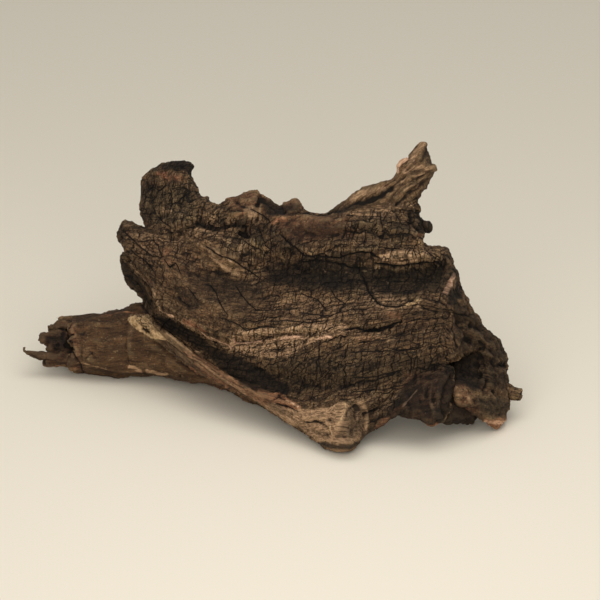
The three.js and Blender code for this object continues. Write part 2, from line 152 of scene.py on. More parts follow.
# Slivers of the broken end: x, y in pixels, mm in front of the limb's axis, radius in mm.
slivers = [
    [(84, 326, 4, 7), (70, 325, 4, 6.5), (62, 326.5, 4, 4.4), (57, 328.5, 4, 2.2), (53.5, 330, 4, 1)],
    [(66, 322, 1, 3), (59, 321, 1, 2), (56, 319, 1, 1), (53.5, 316.5, 1, 0.5)],
    [(58, 329, 7, 2), (50, 327.5, 7, 0.9), (47.5, 327.5, 7, 0.5)],
    [(82, 340, 8, 9), (66, 341, 8, 9), (55, 341.5, 8, 8.4), (49, 342, 7, 7.2), (45, 342.5, 7, 5),
     (42, 343, 7, 2)],
    [(62, 334, 9, 4.4), (53, 335.5, 9, 3.4), (47, 337.5, 9, 2.6), (42, 339, 9, 2), (39, 340, 9, 1.2),
     (36, 340, 9, 0.5)],
    [(58, 332, 11, 2), (50, 333.5, 11, 1.4), (45, 334.5, 11, 0.5)],
    [(60, 349, 10, 3), (52, 350, 10, 2.2), (46, 352.5, 10, 0.8)],
    [(60, 336, 13, 3), (50, 337, 11, 2.4), (42, 338.5, 9, 1.2), (37, 340, 9, 0.5)],
    [(62, 346, 13, 3), (52, 347, 12, 2.4), (45, 349.5, 11, 1)],
    [(64, 331, 12, 2.4), (56, 333, 12, 2), (48, 335.5, 10, 1), (42, 337, 10, 0.6)],
    [(52, 343, 10, 2), (43, 343, 9, 1), (39.5, 341, 9, 0.5)],
    [(82, 352, 12, 6), (66, 352, 12, 4), (54, 352, 11, 2), (47, 352, 10, 0.8)],
    [(84, 361, 8, 6.4), (62, 361, 8, 6), (50, 361, 8, 5.6), (44, 362, 7, 4.4), (41, 364, 7, 2)],
    [(72, 357, 14, 3.6), (54, 359, 13, 3.6), (43, 358.5, 11, 3.3), (34, 356.5, 10, 2.6),
     (28, 354.5, 10, 1.9), (24, 353, 10, 1.3), (21.5, 350.5, 10, 0.8), (22.5, 347.5, 10, 0.75)],
    [(68, 366, 2, 3), (52, 366.5, 2, 2), (42.5, 366.5, 2, 0.9)],
    [(60, 359, 15, 1.2), (53, 355, 16, 0.8), (50.5, 350.5, 17, 0.6)],
]


# How a strand is drawn along its line.
fibres = {
    "seed": 5,
    "sides": 6,
    "share": (0.3, 0.75),  # of its line that it follows
    "step": 4,  # pixels between its points
    "waver": 0.35,  # pixels that a point strays
    "sliverWaver": 0.3,  # the same in a sliver
    "thickness": (0.6, 1.3),  # times the radius
    "taper": 0.25,  # 0 for ends that run out to a point
    "rayFrom": 250,  # mm in front of the face
    "widestJump": 12,  # mm, past which it would hang over a gap
}


def strandMesh(points, radii, seed):
    sides = fibres["sides"]
    rng = np.random.default_rng(seed)
    points = np.array(points, float)
    vertices, faces = [], []
    for i in range(len(points)):
        ahead = points[min(i + 1, len(points) - 1)] - points[max(i - 1, 0)]
        ahead /= np.linalg.norm(ahead)
        side = np.cross(ahead, (0, 0, 1) if abs(ahead[2]) < 0.9 else (1, 0, 0))
        side /= np.linalg.norm(side)
        up = np.cross(side, ahead)
        for k in range(sides):
            angle = 2 * math.pi * (k + 0.3 * i) / sides
            reach = radii[i] * rng.uniform(0.75, 1.25)
            vertices.append(points[i] + reach * (math.cos(angle) * side + 0.8 * math.sin(angle) * up))
    for i in range(len(points) - 1):
        for k in range(sides):
            a, b = i * sides + k, i * sides + (k + 1) % sides
            faces.append((a, b, b + sides, a + sides))
    faces.append(tuple(range(sides))[::-1])
    faces.append(tuple((len(points) - 1) * sides + k for k in range(sides)))
    return vertices, faces


def tornStrands(piece, rng):
    added = []
    for line, count, spread, radius in bundles:
        line = np.array(line, float)
        run = np.concatenate([[0], np.cumsum(np.linalg.norm(np.diff(line, axis=0), axis=1))])
        for strand in range(count):
            length = run[-1] * rng.uniform(*fibres["share"])
            start = rng.uniform(-0.02, 1) * (run[-1] - length)
            steps = max(4, int(length / fibres["step"]))
            at = start + length * np.linspace(0, 1, steps)
            shift = rng.normal(0, spread * 0.5) + rng.normal(0, fibres["waver"], steps)
            xs, ys = np.interp(at, run, line[:, 0]), np.interp(at, run, line[:, 1])
            slopeX, slopeY = np.gradient(xs), np.gradient(ys)
            slope = np.hypot(slopeX, slopeY)
            points = []
            for x, y in zip(xs - shift * slopeY / slope, ys + shift * slopeX / slope):
                outside = Vector(fromPicture(x, y, fibres["rayFrom"]) / 1000)
                hit, place, normal, face = piece.ray_cast(outside, -Vector(faceNormal))
                if hit:
                    points.append(np.array(place) * 1000)
            if len(points) < 4:
                continue
            if np.linalg.norm(np.diff(points, axis=0), axis=1).max() > fibres["widestJump"]:
                continue
            ends = np.linspace(fibres["taper"], math.pi - fibres["taper"], len(points))
            thick = radius * rng.uniform(*fibres["thickness"]) * np.sin(ends) ** 0.6
            added.append(strandMesh(points, thick, len(added)))
    return added


def brokenEnd(rng, first):
    added = []
    for sliver in slivers:
        fine = np.linspace(0, len(sliver) - 1, 4 * len(sliver))
        rows = np.stack([np.interp(fine, range(len(sliver)), column) for column in zip(*sliver)], 1)
        rows[:, 1] += rng.normal(0, fibres["sliverWaver"], len(rows))
        points = [fromPicture(x, y, limbAxis[0][2] + nearer) for x, y, nearer, radius in rows]
        added.append(strandMesh(points, rows[:, 3], first + len(added)))
    return added


def addStrands(piece):
    rng = np.random.default_rng(fibres["seed"])
    added = tornStrands(piece, rng)
    added += brokenEnd(rng, len(added))
    vertices, faces = [], []
    for strandVertices, strandFaces in added:
        faces += [tuple(i + len(vertices) for i in face) for face in strandFaces]
        vertices += [tuple(v / 1000) for v in strandVertices]
    mesh = bpy.data.meshes.new("strands")
    mesh.from_pydata(vertices, [], faces)
    whole = bmesh.new()
    whole.from_mesh(piece.data)
    whole.from_mesh(mesh)
    whole.to_mesh(piece.data)
    whole.free()
    bpy.data.meshes.remove(mesh)
    print("strands", len(added))


def denseCopy(node, name):
    mesh = node.data.copy()
    piece = bpy.data.objects.new(name, mesh)
    bpy.context.scene.collection.objects.link(piece)
    addStrands(piece)
    remesh = piece.modifiers.new("fine", "REMESH")
    remesh.mode = "VOXEL"
    remesh.voxel_size = wood["voxel"]
    applyModifiers(piece)
    return piece


def applyModifiers(piece):
    bpy.context.view_layer.update()
    graph = bpy.context.evaluated_depsgraph_get()
    mesh = bpy.data.meshes.new_from_object(piece.evaluated_get(graph), depsgraph=graph)
    piece.modifiers.clear()
    old = piece.data
    piece.data = mesh
    bpy.data.meshes.remove(old)


def readPoints(mesh):
    flat = np.empty(len(mesh.vertices) * 3, np.float32)
    mesh.vertices.foreach_get("co", flat)
    return flat.reshape(-1, 3).astype(float) * 1000


def writePoints(mesh, points):
    mesh.vertices.foreach_set("co", (points / 1000).astype(np.float32).ravel())
    mesh.update()


def readNormals(mesh):
    flat = np.empty(len(mesh.vertices) * 3, np.float32)
    mesh.vertex_normals.foreach_get("vector", flat)
    return flat.reshape(-1, 3).astype(float)


def readEdges(mesh):
    flat = np.empty(len(mesh.edges) * 2, np.int32)
    mesh.edges.foreach_get("vertices", flat)
    return flat.reshape(-1, 2)


def neighbourMean(points, edges, count):
    total = np.empty_like(points)
    for axis in range(points.shape[1]):
        total[:, axis] = np.bincount(edges[:, 0], points[edges[:, 1], axis], len(points))
        total[:, axis] += np.bincount(edges[:, 1], points[edges[:, 0], axis], len(points))
    return total / count[:, None]


def evened(points, edges, passes, freedom):
    count = np.bincount(edges.ravel(), minlength=len(points)).clip(1)
    for turn in range(passes):
        for push in (0.5, -0.52):  # in, then out again, so that the piece doesn't shrink
            points = points + push * freedom[:, None] * (neighbourMean(points, edges, count) - points)
    return points


def onPicture(points):
    across = points[:, 0] - picture["origin"][0]
    back = points[:, 1] - picture["origin"][1]
    up = back * math.sin(picture["lean"]) + points[:, 2] * math.cos(picture["lean"])
    out = points[:, 2] * math.sin(picture["lean"]) - back * math.cos(picture["lean"])
    x = picture["middle"] + across / picture["mmPerPixel"]
    y = picture["footY"] - up / picture["mmPerPixel"]
    return x, y, out


# Lines of the grain over the face, from the crest to the table: (mm across the grain, line).
grainLines = [
    (0, [(110, 214), (150, 220), (200, 213), (260, 205), (330, 212), (420, 215), (530, 235)]),
    (28, [(110, 228), (150, 238), (190, 248), (240, 262), (300, 256), (350, 252), (420, 255), (530, 300)]),
    (58, [(110, 240), (140, 262), (165, 285), (200, 300), (240, 303), (300, 302), (420, 300), (530, 335)]),
    (90, [(110, 250), (135, 275), (155, 305), (185, 322), (225, 340), (300, 338), (350, 332), (450, 312),
          (530, 360)]),
    (145, [(110, 262), (150, 325), (190, 360), (240, 388), (300, 405), (360, 398), (440, 372), (530, 400)]),
    (190, [(110, 300), (150, 345), (190, 378), (240, 400), (300, 436), (360, 440), (420, 425), (530, 430)]),
]
bluntHornFoot = [(140, 228), (165, 236), (200, 222), (222, 206)]
sharpHornFoot = [(325, 213), (345, 211), (372, 203), (400, 206), (430, 214)]
limbAxis = [  # x, y in pixels, out and radius in mm
    (20, 345, -158, 27), (72, 345, -158, 27), (115, 343, -152, 31), (155, 339, -143, 35),
    (205, 348, -121, 34),
    (230, 351, -112, 33), (270, 342, -98, 32), (315, 325, -82, 28),
]


limb = {
    "toX": 235,  # where its skin ends under the slab, in pixels
    "deep": -80,  # past that only what lies this deep, in mm out of the face
    "backDeep": -150,  # its back is swollen, so there it takes more
    "backRadius": 48,
    "edge": (6, 1),  # mm off the radius, from none of it to all
}


def fromPicture(x, y, out):
    up = (picture["footY"] - y) * picture["mmPerPixel"]
    return np.array([
        picture["origin"][0] + (x - picture["middle"]) * picture["mmPerPixel"],
        picture["origin"][1] + up * math.sin(picture["lean"]) - out * math.cos(picture["lean"]),
        up * math.cos(picture["lean"]) + out * math.sin(picture["lean"]),
    ])


def limbShare(points):
    # How much of the limb a point belongs to, and where it lies along and off the limb's axis.
    spine = np.array([fromPicture(x, y, out) for x, y, out, radius in limbAxis])
    along = points[:, 0] - spine[0, 0]
    across, up = [points[:, k] - np.interp(points[:, 0], spine[:, 0], spine[:, k]) for k in (1, 2)]
    radius = np.interp(points[:, 0], spine[:, 0], [row[3] for row in limbAxis])
    inRun = points[:, 0] < spine[-1, 0]
    return smoothStep(*limb["edge"], np.hypot(across, up) - radius) * inRun, along, across, up


def grainOf(points, x, y, out):
    # Where a point lies along and across the grain, in mm. It turns on the horns and the limb.
    levels = [np.interp(x, *zip(*line)) for width, line in grainLines]
    across = grainLines[0][0] + (y - levels[0]) * picture["mmPerPixel"]
    for i in range(len(levels) - 1):
        share = (y - levels[i]) / (levels[i + 1] - levels[i])
        width = grainLines[i + 1][0] - grainLines[i][0]
        across = np.where(y >= levels[i], grainLines[i][0] + share * width, across)
    grain = np.stack([x * picture["mmPerPixel"] + 0.25 * across, across, out], 1)
    bluntHorn = (y < np.interp(x, *zip(*bluntHornFoot))) & (x < bluntHornFoot[-1][0])
    grain[bluntHorn] = np.stack([y, x * 0.9 + 300, out], 1)[bluntHorn]
    sharpHorn = (y < np.interp(x, *zip(*sharpHornFoot))) & (x > sharpHornFoot[0][0])
    turned = np.stack([x * 0.8 - y * 0.6, x * 0.6 + y * 0.8, out], 1)
    grain[sharpHorn] = turned[sharpHorn]
    share, along, away, up = limbShare(points)
    onLimb = (share > 0.5) & ((x < limb["toX"]) | (out < limb["deep"]))
    back = (x < limb["toX"]) & (out < limb["backDeep"])
    onLimb |= back & (np.hypot(away, up) < limb["backRadius"])
    grain[onLimb] = np.stack([along, up + 500, away], 1)[onLimb]
    return grain, onLimb.astype(float)


# What drying and the break did to the face, in the picture's pixels. The wide cracks gape, the
# narrow ones are a dark line.
cracks = {
    "wide": [
        [(281, 235), (290, 243), (297, 250), (303, 256), (320, 257), (340, 258), (350, 255), (361, 252),
         (371, 253), (379, 258)],
        [(300, 262), (320, 261), (338, 264), (352, 268), (362, 269)],
        [(376, 264), (390, 266), (402, 266), (420, 264), (437, 262), (443, 268)],
        [(345, 330), (355, 328), (366, 331), (378, 330), (390, 326), (401, 322)],
        [(362, 275), (367, 285), (369, 292), (373, 297), (379, 303), (388, 306), (398, 306), (405, 303),
         (413, 301)],
    ],
    "narrow": [
        [(420, 304), (425, 309), (432, 311), (440, 312)],
        [(300, 313), (318, 315), (330, 316), (338, 312), (342, 307), (352, 304)],
        [(235, 285), (243, 297), (250, 305), (257, 311), (268, 311), (285, 309), (297, 309)],
        [(205, 284), (211, 286), (216, 292), (218, 300), (222, 307), (227, 314), (228, 317)],
        [(219, 317), (226, 320), (233, 322), (240, 326), (246, 331), (258, 328), (271, 327), (282, 328)],
        [(187, 287), (192, 293), (196, 299)],
        [(178, 296), (185, 303), (190, 307)],
        [(163, 258), (170, 268), (175, 262), (180, 272), (182, 277)],
        [(121, 229), (127, 235), (133, 240), (140, 247), (147, 252), (153, 257)],
        [(128, 248), (136, 255), (146, 262), (155, 272)],
        [(150, 238), (158, 246), (160, 256)],
        [(204, 245), (213, 250), (221, 256), (232, 259), (243, 267), (252, 273), (262, 280)],
        [(452, 316), (452, 330), (455, 342), (458, 349)],
        [(380, 211), (381, 220), (383, 229)],
        [(396, 214), (402, 225)],
        [(345, 224), (346, 232), (341, 240)],
        [(357, 222), (355, 231), (352, 239)],
        [(352, 221), (351, 230)],
        [(413, 248), (416, 258)],
        [(250, 209), (258, 212), (266, 218), (271, 222)],
        [(229, 211), (244, 211)],
        [(357, 343), (372, 341), (385, 340)],
        [(350, 352), (380, 351), (402, 350), (416, 349), (420, 344)],
        [(352, 378), (372, 377), (392, 373)],
        [(346, 393), (362, 391), (380, 390), (402, 385)],
        [(295, 341), (295, 352), (294, 362)],
        [(277, 340), (278, 350)],
        [(304, 340), (305, 350)],
        [(320, 345), (319, 360), (322, 374)],
        [(405, 350), (412, 360), (410, 374)],
        [(376, 345), (378, 352)],
        [(300, 293), (318, 300), (326, 310)],
        [(330, 288), (336, 298), (346, 304)],
        [(268, 322), (290, 321), (312, 323), (326, 320)],
        [(145, 192), (153, 184)],
        [(150, 202), (159, 190), (166, 185)],
        [(170, 186), (172, 200), (169, 214)],
        [(175, 203), (184, 196), (191, 190)],
        [(156, 215), (163, 222), (172, 228)],
        [(160, 330), (164, 323), (171, 318)],
        [(176, 334), (180, 326), (186, 324)],
        [(243, 240), (252, 246), (262, 250)],
        [(258, 226), (262, 236), (266, 246), (274, 252)],
        [(425, 250), (436, 258)],
        [(78, 362), (73, 355), (69, 345), (66, 334)],
        [(82, 375), (78, 362)],
    ],
}
crackMarks = {"wide": (1.3, -2.2, "soot", 0.75), "narrow": (1.0, -0.8, "soot", 0.3)}
# Other marks, one list for each feature of the wood: (line, half width in pixels, rise in mm, tone,
# strength of the tone). A negative rise is a hollow. The soot tone is partly real soot and dirt and
# partly painted shade: it darkens hollows, slots, fissures, gaps and undersides where shade falls.
marks = {
    # The soot tone in these slots is painted shade under the bumps.
    "slots below the bumps": [
        ([(197, 224), (206, 227), (216, 228)], 1.8, -2, "soot", 0.5),
        ([(216, 228), (230, 226), (246, 226)], 1.4, -2, "soot", 0.55),
        ([(240, 233), (247, 236)], 2.4, -3.5, "soot", 1),
        ([(166, 229), (171, 233)], 1.5, -2, "soot", 0.6),
        ([(256, 205), (260, 197)], 2.2, -3, "soot", 1.1),
        ([(262, 196), (268, 203), (276, 210), (284, 213)], 3.2, -3.5, "soot", 1.1),
        ([(281, 206), (284, 211)], 2, -2, "soot", 1),
        ([(267, 212), (276, 214), (284, 211), (290, 208)], 2, -1, "soot", 1.2),
        ([(288, 214), (300, 213), (310, 213)], 1.6, -1.2, "soot", 0.6),
        ([(236, 201), (241, 206), (252, 208)], 1.2, -1.2, "soot", 0.6),
    ],
    # The first soot line is a painted shadow under the ridge of the pointed horn; the others paint shade in
    # its slots.
    "slots of the pointed horn": [
        ([(318, 214), (330, 212), (344, 209), (354, 203), (366, 202), (380, 196),
          (391, 188)], 2.4, -2.8, "soot", 0.9),
        ([(410, 214), (412, 222), (417, 229)], 2, -3, "soot", 1),
        ([(396, 205), (408, 195), (418, 188), (428, 178)], 1.5, -1.4, "soot", 0.7),
        ([(404, 196), (412, 189), (422, 181), (431, 173)], 1.1, -1, "soot", 0.6),
        ([(392, 196), (402, 186), (412, 180), (424, 174)], 1.1, -1, "soot", 0.55),
        ([(418, 206), (423, 196), (429, 186)], 1.6, -1, "soot", 0.5),
        ([(421, 160), (426, 154), (428, 146)], 2, -0.8, "soot", 0.9),
        ([(405, 168), (412, 172), (424, 168)], 1, -0.8, "soot", 0.5),
    ],
    "rim and dents of the blunt horn": [
        ([(164, 168), (172, 165), (182, 163), (190, 165)], 3, 1.6, "soot", 1.3),
        ([(189, 169), (191, 176)], 2.2, 0, "soot", 1.2),
        ([(184, 194), (190, 200)], 3.4, -1.5, "soot", 0.7),
        ([(174, 196), (180, 190)], 1.6, -1, "soot", 0.8),
        ([(152, 184), (150, 198), (153, 212)], 1.4, -1, "soot", 0.6),
    ],
    # The soot tone in these pockets is painted shade.
    "pockets of the flank": [
        ([(466, 336), (472, 344)], 2.4, -2, "soot", 0.8),
        ([(470, 325), (481, 328)], 3, -4, "soot", 0.9),
        ([(456, 290), (460, 296)], 3, -3, "soot", 1.1),
        ([(455, 316), (458, 322)], 3, -3, "soot", 0.9),
        ([(478, 338), (484, 346), (492, 350)], 2.2, -2, "soot", 0.8),
        ([(464, 306), (472, 314)], 1.8, -1.6, "soot", 0.7),
        ([(455, 350), (463, 341), (474, 338)], 2.4, -1.6, "soot", 0.5),
        ([(484, 364), (487, 378), (484, 390)], 1.4, -2, "soot", 0.7),
        ([(494, 356), (496, 372), (494, 392)], 1.6, -2, "soot", 0.6),
        ([(500, 365), (507, 365), (508, 371)], 3, -5, "soot", 1.3),
        ([(460, 280), (461, 288)], 2.4, -1, "soot", 1.1),
    ],
    # The soot tone in these slots and in the gap by the heel is painted shade.
    "slots beside the flap": [
        ([(443, 412), (444, 396), (448, 384), (452, 378)], 3.4, -5, "soot", 1.2),
        ([(436, 421), (446, 413)], 2.6, -3, "soot", 1),
        ([(420, 384), (417, 392), (421, 404)], 1.6, -1.4, "soot", 0.9),
        ([(429, 386), (425, 394), (430, 402)], 1.2, -1.4, "soot", 0.8),
        ([(437, 390), (433, 398), (436, 412)], 1.5, -1.2, "soot", 0.8),
        ([(411, 392), (408, 402), (411, 410)], 1.4, -1.6, "soot", 0.8),
        ([(424, 388), (423, 400)], 1.2, 1.2, "torn", 0.4),
        ([(432, 384), (430, 400), (433, 412)], 1.2, 1.2, "torn", 0.4),
        ([(418, 376), (430, 374), (442, 374), (449, 378)], 1.6, 2, "torn", 0.45),
    ],
    "torn edge on the left": [
        ([(130, 263), (135, 270), (142, 277), (150, 284), (155, 292), (157, 300),
          (160, 308)], 1.8, 1, "bleached", 1),
        ([(136, 268), (143, 274), (152, 282)], 2.4, 0.6, "torn", 0.6),
        ([(160, 308), (163, 311), (170, 314), (174, 316)], 1.1, 0.7, "rind", 0.9),
        ([(162, 313), (172, 318), (184, 324), (196, 330)], 3.2, 0.8, "bleached", 0.9),
        ([(186, 322), (194, 325)], 1, 0.7, "rind", 0.6),
        ([(200, 330), (206, 335)], 0.9, 0.7, "rind", 0.8),
        ([(184, 320), (198, 325), (206, 331)], 3, 0.6, "torn", 0.7),
        ([(212, 337), (220, 340), (232, 346)], 1, 0.7, "rind", 0.85),
        ([(208, 337), (220, 343), (232, 349)], 3, 0.6, "bleached", 1),
    ],
    "ledge": [
        ([(233, 339), (236, 345), (232, 348)], 2, 0.8, "rind", 1.1),
        ([(238, 346), (256, 346), (272, 344), (292, 342)], 5, 2.6, "bleached", 1.6),
        ([(234, 342), (246, 343), (262, 341)], 1.6, 0.8, "rind", 1.4),
        ([(258, 341), (272, 340), (284, 338)], 0.8, 0.6, "rind", 0.6),
        ([(283, 338), (292, 337), (301, 337)], 1.1, 0.8, "rind", 1.3),
        ([(300, 338), (318, 339)], 0.8, 0.6, "rind", 0.6),
        ([(317, 339), (325, 338), (332, 337)], 1.1, 0.8, "rind", 1.2),
        ([(331, 337), (340, 334), (350, 330)], 0.8, 0.6, "rind", 0.7),
        ([(240, 335), (262, 333), (290, 331), (320, 330), (344, 328)], 4.4, 1.2, "bleached", 1.3),
        # The soot line here is painted shade in a fissure.
        ([(370, 331), (380, 330), (390, 327)], 2, -2.6, "soot", 0.9),
        ([(365, 334), (352, 336)], 2, 0, "torn", 0.5),
        ([(352, 339), (368, 338), (382, 335)], 2.4, 0.8, "bleached", 0.5),
    ],
    "worn crests": [
        ([(190, 240), (205, 246), (215, 253)], 2.6, 1.2, "bleached", 0.5),
        ([(188, 232), (200, 238), (212, 244)], 1.4, 0.8, "bleached", 0.6),
        ([(213, 256), (221, 264), (230, 271), (238, 275)], 3.8, 1.8, "bleached", 0.65),
        ([(212, 247), (224, 256), (236, 264)], 1, 0.8, "rind", 0.6),
        ([(195, 229), (206, 232), (218, 238), (230, 243)], 3.2, 1.4, "bleached", 0.65),
        ([(205, 240), (218, 247)], 1.4, 0.8, "torn", 0.5),
        ([(210, 216), (226, 219), (238, 219)], 4, 0.8, "bleached", 0.55),
        ([(236, 214), (246, 213), (253, 212)], 2, 1.2, "torn", 0.6),
        ([(246, 250), (254, 262), (262, 272)], 3.4, 0.6, "bleached", 0.5),
        ([(134, 240), (144, 248), (154, 256)], 3, 0.5, "bleached", 0.5),
        ([(228, 200), (234, 198)], 3.5, 0.5, "torn", 0.5),
        ([(242, 199), (252, 194), (258, 196)], 3.4, 0.5, "torn", 0.35),
        ([(288, 202), (293, 201), (299, 205)], 2.4, 0.5, "torn", 0.4),
        ([(273, 223), (277, 221), (283, 219)], 2, 1.2, "torn", 1.3),
        ([(272, 224), (277, 222), (281, 221)], 0.9, 0.4, "rind", 0.7),
        ([(285, 218), (300, 217), (330, 219)], 1.6, 1.2, "torn", 0.4),
        ([(352, 199), (362, 194), (374, 191), (384, 189)], 3, 1.6, "bleached", 1.1),
        ([(352, 205), (362, 200), (372, 196)], 1.4, 0.6, "bleached", 0.5),
        ([(380, 187), (388, 185)], 2.4, 0, "torn", 0.5),
        ([(158, 173), (165, 176)], 3, 0.5, "torn", 0.9),
        ([(165, 179), (173, 177), (181, 179)], 2.6, 0.5, "torn", 0.7),
        ([(184, 183), (188, 188)], 2.4, 0.4, "bleached", 0.5),
        ([(162, 210), (174, 212)], 3.4, 0.5, "bleached", 0.6),
        ([(396, 206), (404, 208), (412, 206)], 3, 1, "bleached", 0.8),
        ([(412, 234), (416, 238)], 4, 0.8, "bleached", 0.5),
        ([(418, 233), (419, 236)], 1.6, 0, "torn", 0.9),
        ([(382, 258), (396, 254), (410, 256), (424, 254)], 3.6, 1.2, "bleached", 0.9),
        ([(376, 236), (380, 242)], 3.4, 0.6, "bleached", 0.5),
        ([(404, 306), (414, 303), (420, 301)], 2.8, 1, "waxy", 0.6),
        ([(378, 298), (390, 299)], 2.4, 0.8, "bleached", 0.8),
        ([(368, 304), (376, 308)], 3, 0.6, "bleached", 0.7),
        ([(386, 313), (394, 317), (401, 316)], 3.4, 0.4, "torn", 0.6),
        ([(364, 271), (372, 268), (380, 267)], 1.6, 1, "waxy", 0.8),
        ([(323, 268), (327, 272)], 0.8, 0.4, "rind", 0.9),
        ([(345, 272), (352, 273)], 0.7, 0.4, "rind", 0.7),
        ([(320, 284), (322, 288)], 0.7, 0.3, "waxy", 0.6),
        ([(384, 246), (392, 245)], 0.8, 0.3, "bleached", 0.8),
    ],
    "tip of the pointed horn": [
        ([(399, 173), (399, 167), (402, 162), (408, 160)], 1.3, 1.4, "rind", 1.4),
        ([(404, 170), (410, 165), (417, 163)], 1.6, 0.6, "torn", 0.6),
        ([(411, 163), (417, 152), (423, 144)], 3, 0.8, "bleached", 1),
        ([(405, 172), (418, 167), (434, 167)], 3, 1.2, "bleached", 0.9),
        ([(398, 184), (412, 176), (424, 173)], 2, 0.8, "bleached", 0.8),
        ([(402, 192), (414, 184), (426, 177)], 1.3, 0.8, "bleached", 0.7),
        ([(420, 194), (426, 187)], 2, 0.4, "bleached", 0.6),
    ],
    "edges of the flap and root lobe": [
        ([(376, 427), (385, 419), (395, 412), (403, 406)], 2.4, 0.8, "torn", 1.1),
        ([(376, 414), (388, 404), (400, 394)], 4, 1, "bleached", 0.8),
        ([(403, 407), (411, 398), (417, 390)], 0.8, 0.8, "rind", 1.1),
        ([(424, 421), (432, 426), (440, 422)], 1.8, 0.6, "torn", 0.9),
        ([(486, 420), (494, 423), (506, 421)], 2.2, 0, "rind", 1.1),
        ([(486, 343), (489, 347)], 2, 0, "torn", 0.6),
        ([(450, 356), (458, 355), (466, 352)], 0.7, 0.8, "rind", 0.5),
        ([(498, 361), (500, 368), (506, 373)], 1.2, 0.8, "bleached", 0.8),
        ([(460, 388), (466, 396), (472, 404)], 3.4, 0.6, "bleached", 0.45),
        ([(508, 388), (514, 392), (521, 392)], 2, 0, "bleached", 0.7),
    ],
    # The soot tone along the cord paints the shade between its fibres and on the limb below it.
    "cord": [
        ([(146, 326), (158, 337), (172, 348), (190, 361)], 5, -4.4, "torn", 0),
        ([(136, 321), (146, 331), (158, 340)], 3.4, 3.8, "waxy", 0),
        ([(138, 318), (143, 324), (148, 329)], 2.4, 2.6, "waxy", 0),
        ([(150, 344), (166, 356), (184, 369)], 4.4, 1.4, "soot", 0.2),
        ([(166, 334), (175, 341), (184, 348), (191, 353)], 1.3, 1.4, "bleached", 0.8),
        ([(196, 368), (212, 378), (230, 389)], 3, -1.6, "torn", 0.5),
        ([(220, 389), (226, 387)], 1.6, 2.4, "torn", 1),
        ([(190, 350), (198, 355), (205, 360)], 1, 0.8, "rind", 0.85),
        ([(212, 366), (224, 375), (236, 382), (250, 388)], 0.9, 0.6, "rind", 0.6),
        ([(196, 352), (200, 353)], 2.4, 1.5, "bleached", 0.9),
        ([(190, 356), (206, 367), (224, 381), (246, 393), (266, 405)], 3, 0.2, "bleached", 0.5),
        ([(182, 350), (196, 361), (208, 371), (222, 381), (240, 392), (258, 403)], 0.7, -0.9, "soot", 0.7),
        ([(190, 354), (204, 364), (218, 375), (236, 385), (254, 394)], 0.6, -0.8, "soot", 0.5),
        ([(228, 386), (242, 396), (258, 407), (272, 416)], 1, -0.8, "soot", 0.7),
        ([(236, 385), (250, 391), (264, 399)], 1.8, 0.4, "torn", 0.6),
        ([(275, 396), (280, 394), (285, 398)], 1.2, 1.4, "torn", 1),
        ([(273, 399), (279, 397), (285, 401)], 0.8, -1.6, "soot", 0.9),
        ([(283, 402), (291, 403), (297, 406), (301, 409)], 1.4, 1.2, "torn", 1.3),
        ([(286, 402), (294, 405), (300, 408)], 0.7, 0.3, "rind", 0.8),
        ([(276, 404), (288, 407), (298, 411)], 0.9, -1.4, "soot", 0.9),
    ],
    # A soft pale fold shaped like a V, with a hollow on each side. The soot tone paints shade in the hollows
    # and under the sole.
    "foot": [
        ([(296, 417), (312, 417), (324, 419), (330, 426), (332, 435)], 2.6, 1.2, "bleached", 1.1),
        ([(332, 435), (339, 425), (345, 412), (345, 406)], 3, 1.4, "bleached", 1.2),
        ([(331, 427), (332, 434)], 1, 0.3, "waxy", 0.9),
        ([(339, 424), (345, 411), (345, 405)], 0.8, 0.3, "waxy", 0.7),
        ([(290, 410), (306, 411), (322, 410), (340, 406)], 1.8, 1, "bleached", 1),
        ([(284, 414), (298, 421), (312, 422), (326, 422)], 0.8, -0.9, "soot", 0.55),
        ([(298, 428), (312, 430), (328, 436)], 5, -2, "soot", 0.34),
        ([(290, 420), (300, 428), (312, 436), (322, 442)], 1.2, 0.8, "bleached", 0.8),
        ([(356, 410), (356, 420), (353, 430)], 6, -2.2, "soot", 0.2),
        ([(346, 416), (349, 409), (355, 405)], 1.2, -1.2, "soot", 0.8),
        ([(336, 441), (348, 443), (358, 439)], 2.6, 1.2, "bleached", 1),
        ([(366, 408), (368, 420), (364, 434), (359, 443)], 1.1, 1, "bleached", 1),
        ([(349, 402), (357, 401), (364, 404)], 1.2, 0.8, "bleached", 0.8),
        ([(304, 423), (316, 421), (326, 425), (331, 434)], 1, -1, "soot", 0.45),
        ([(322, 444), (334, 447), (350, 447), (361, 442)], 3, -1.2, "soot", 1.1),
        ([(330, 446), (342, 448), (352, 447)], 1, 0.6, "torn", 0.8),
        ([(271, 413), (290, 426), (306, 437), (322, 447)], 1.5, -0.6, "soot", 0.8),
    ],
    # The soot tone on the limb paints shade on its underside and in the hollows of the broken end.
    "limb": [
        ([(100, 316), (115, 313), (130, 313), (150, 317)], 1.1, 0.8, "torn", 0.7),
        ([(128, 316), (140, 316), (150, 318)], 1.2, 0.4, "bleached", 0.6),
        ([(82, 363), (95, 366), (105, 369)], 0.8, 0.4, "bleached", 0.9),
        ([(128, 366), (133, 366), (141, 372)], 1.9, 0.4, "bleached", 1.1),
        ([(146, 370), (153, 372), (160, 375), (166, 374)], 1.7, 0.4, "bleached", 1),
        ([(136, 372), (150, 376), (170, 377)], 1, 0, "soot", 0.8),
        ([(143, 329), (147, 332)], 1.6, -2.4, "soot", 1.2),
        ([(147, 327), (150, 330)], 1, 0.4, "waxy", 1),
        ([(48, 340), (60, 340), (66, 344), (55, 346)], 4.4, -3.4, "soot", 1.5),
        ([(65, 336), (68, 348), (76, 362)], 1.2, -1.6, "soot", 0.7),
        ([(58, 329), (64, 330), (68, 327)], 1.6, -2, "soot", 0.9),
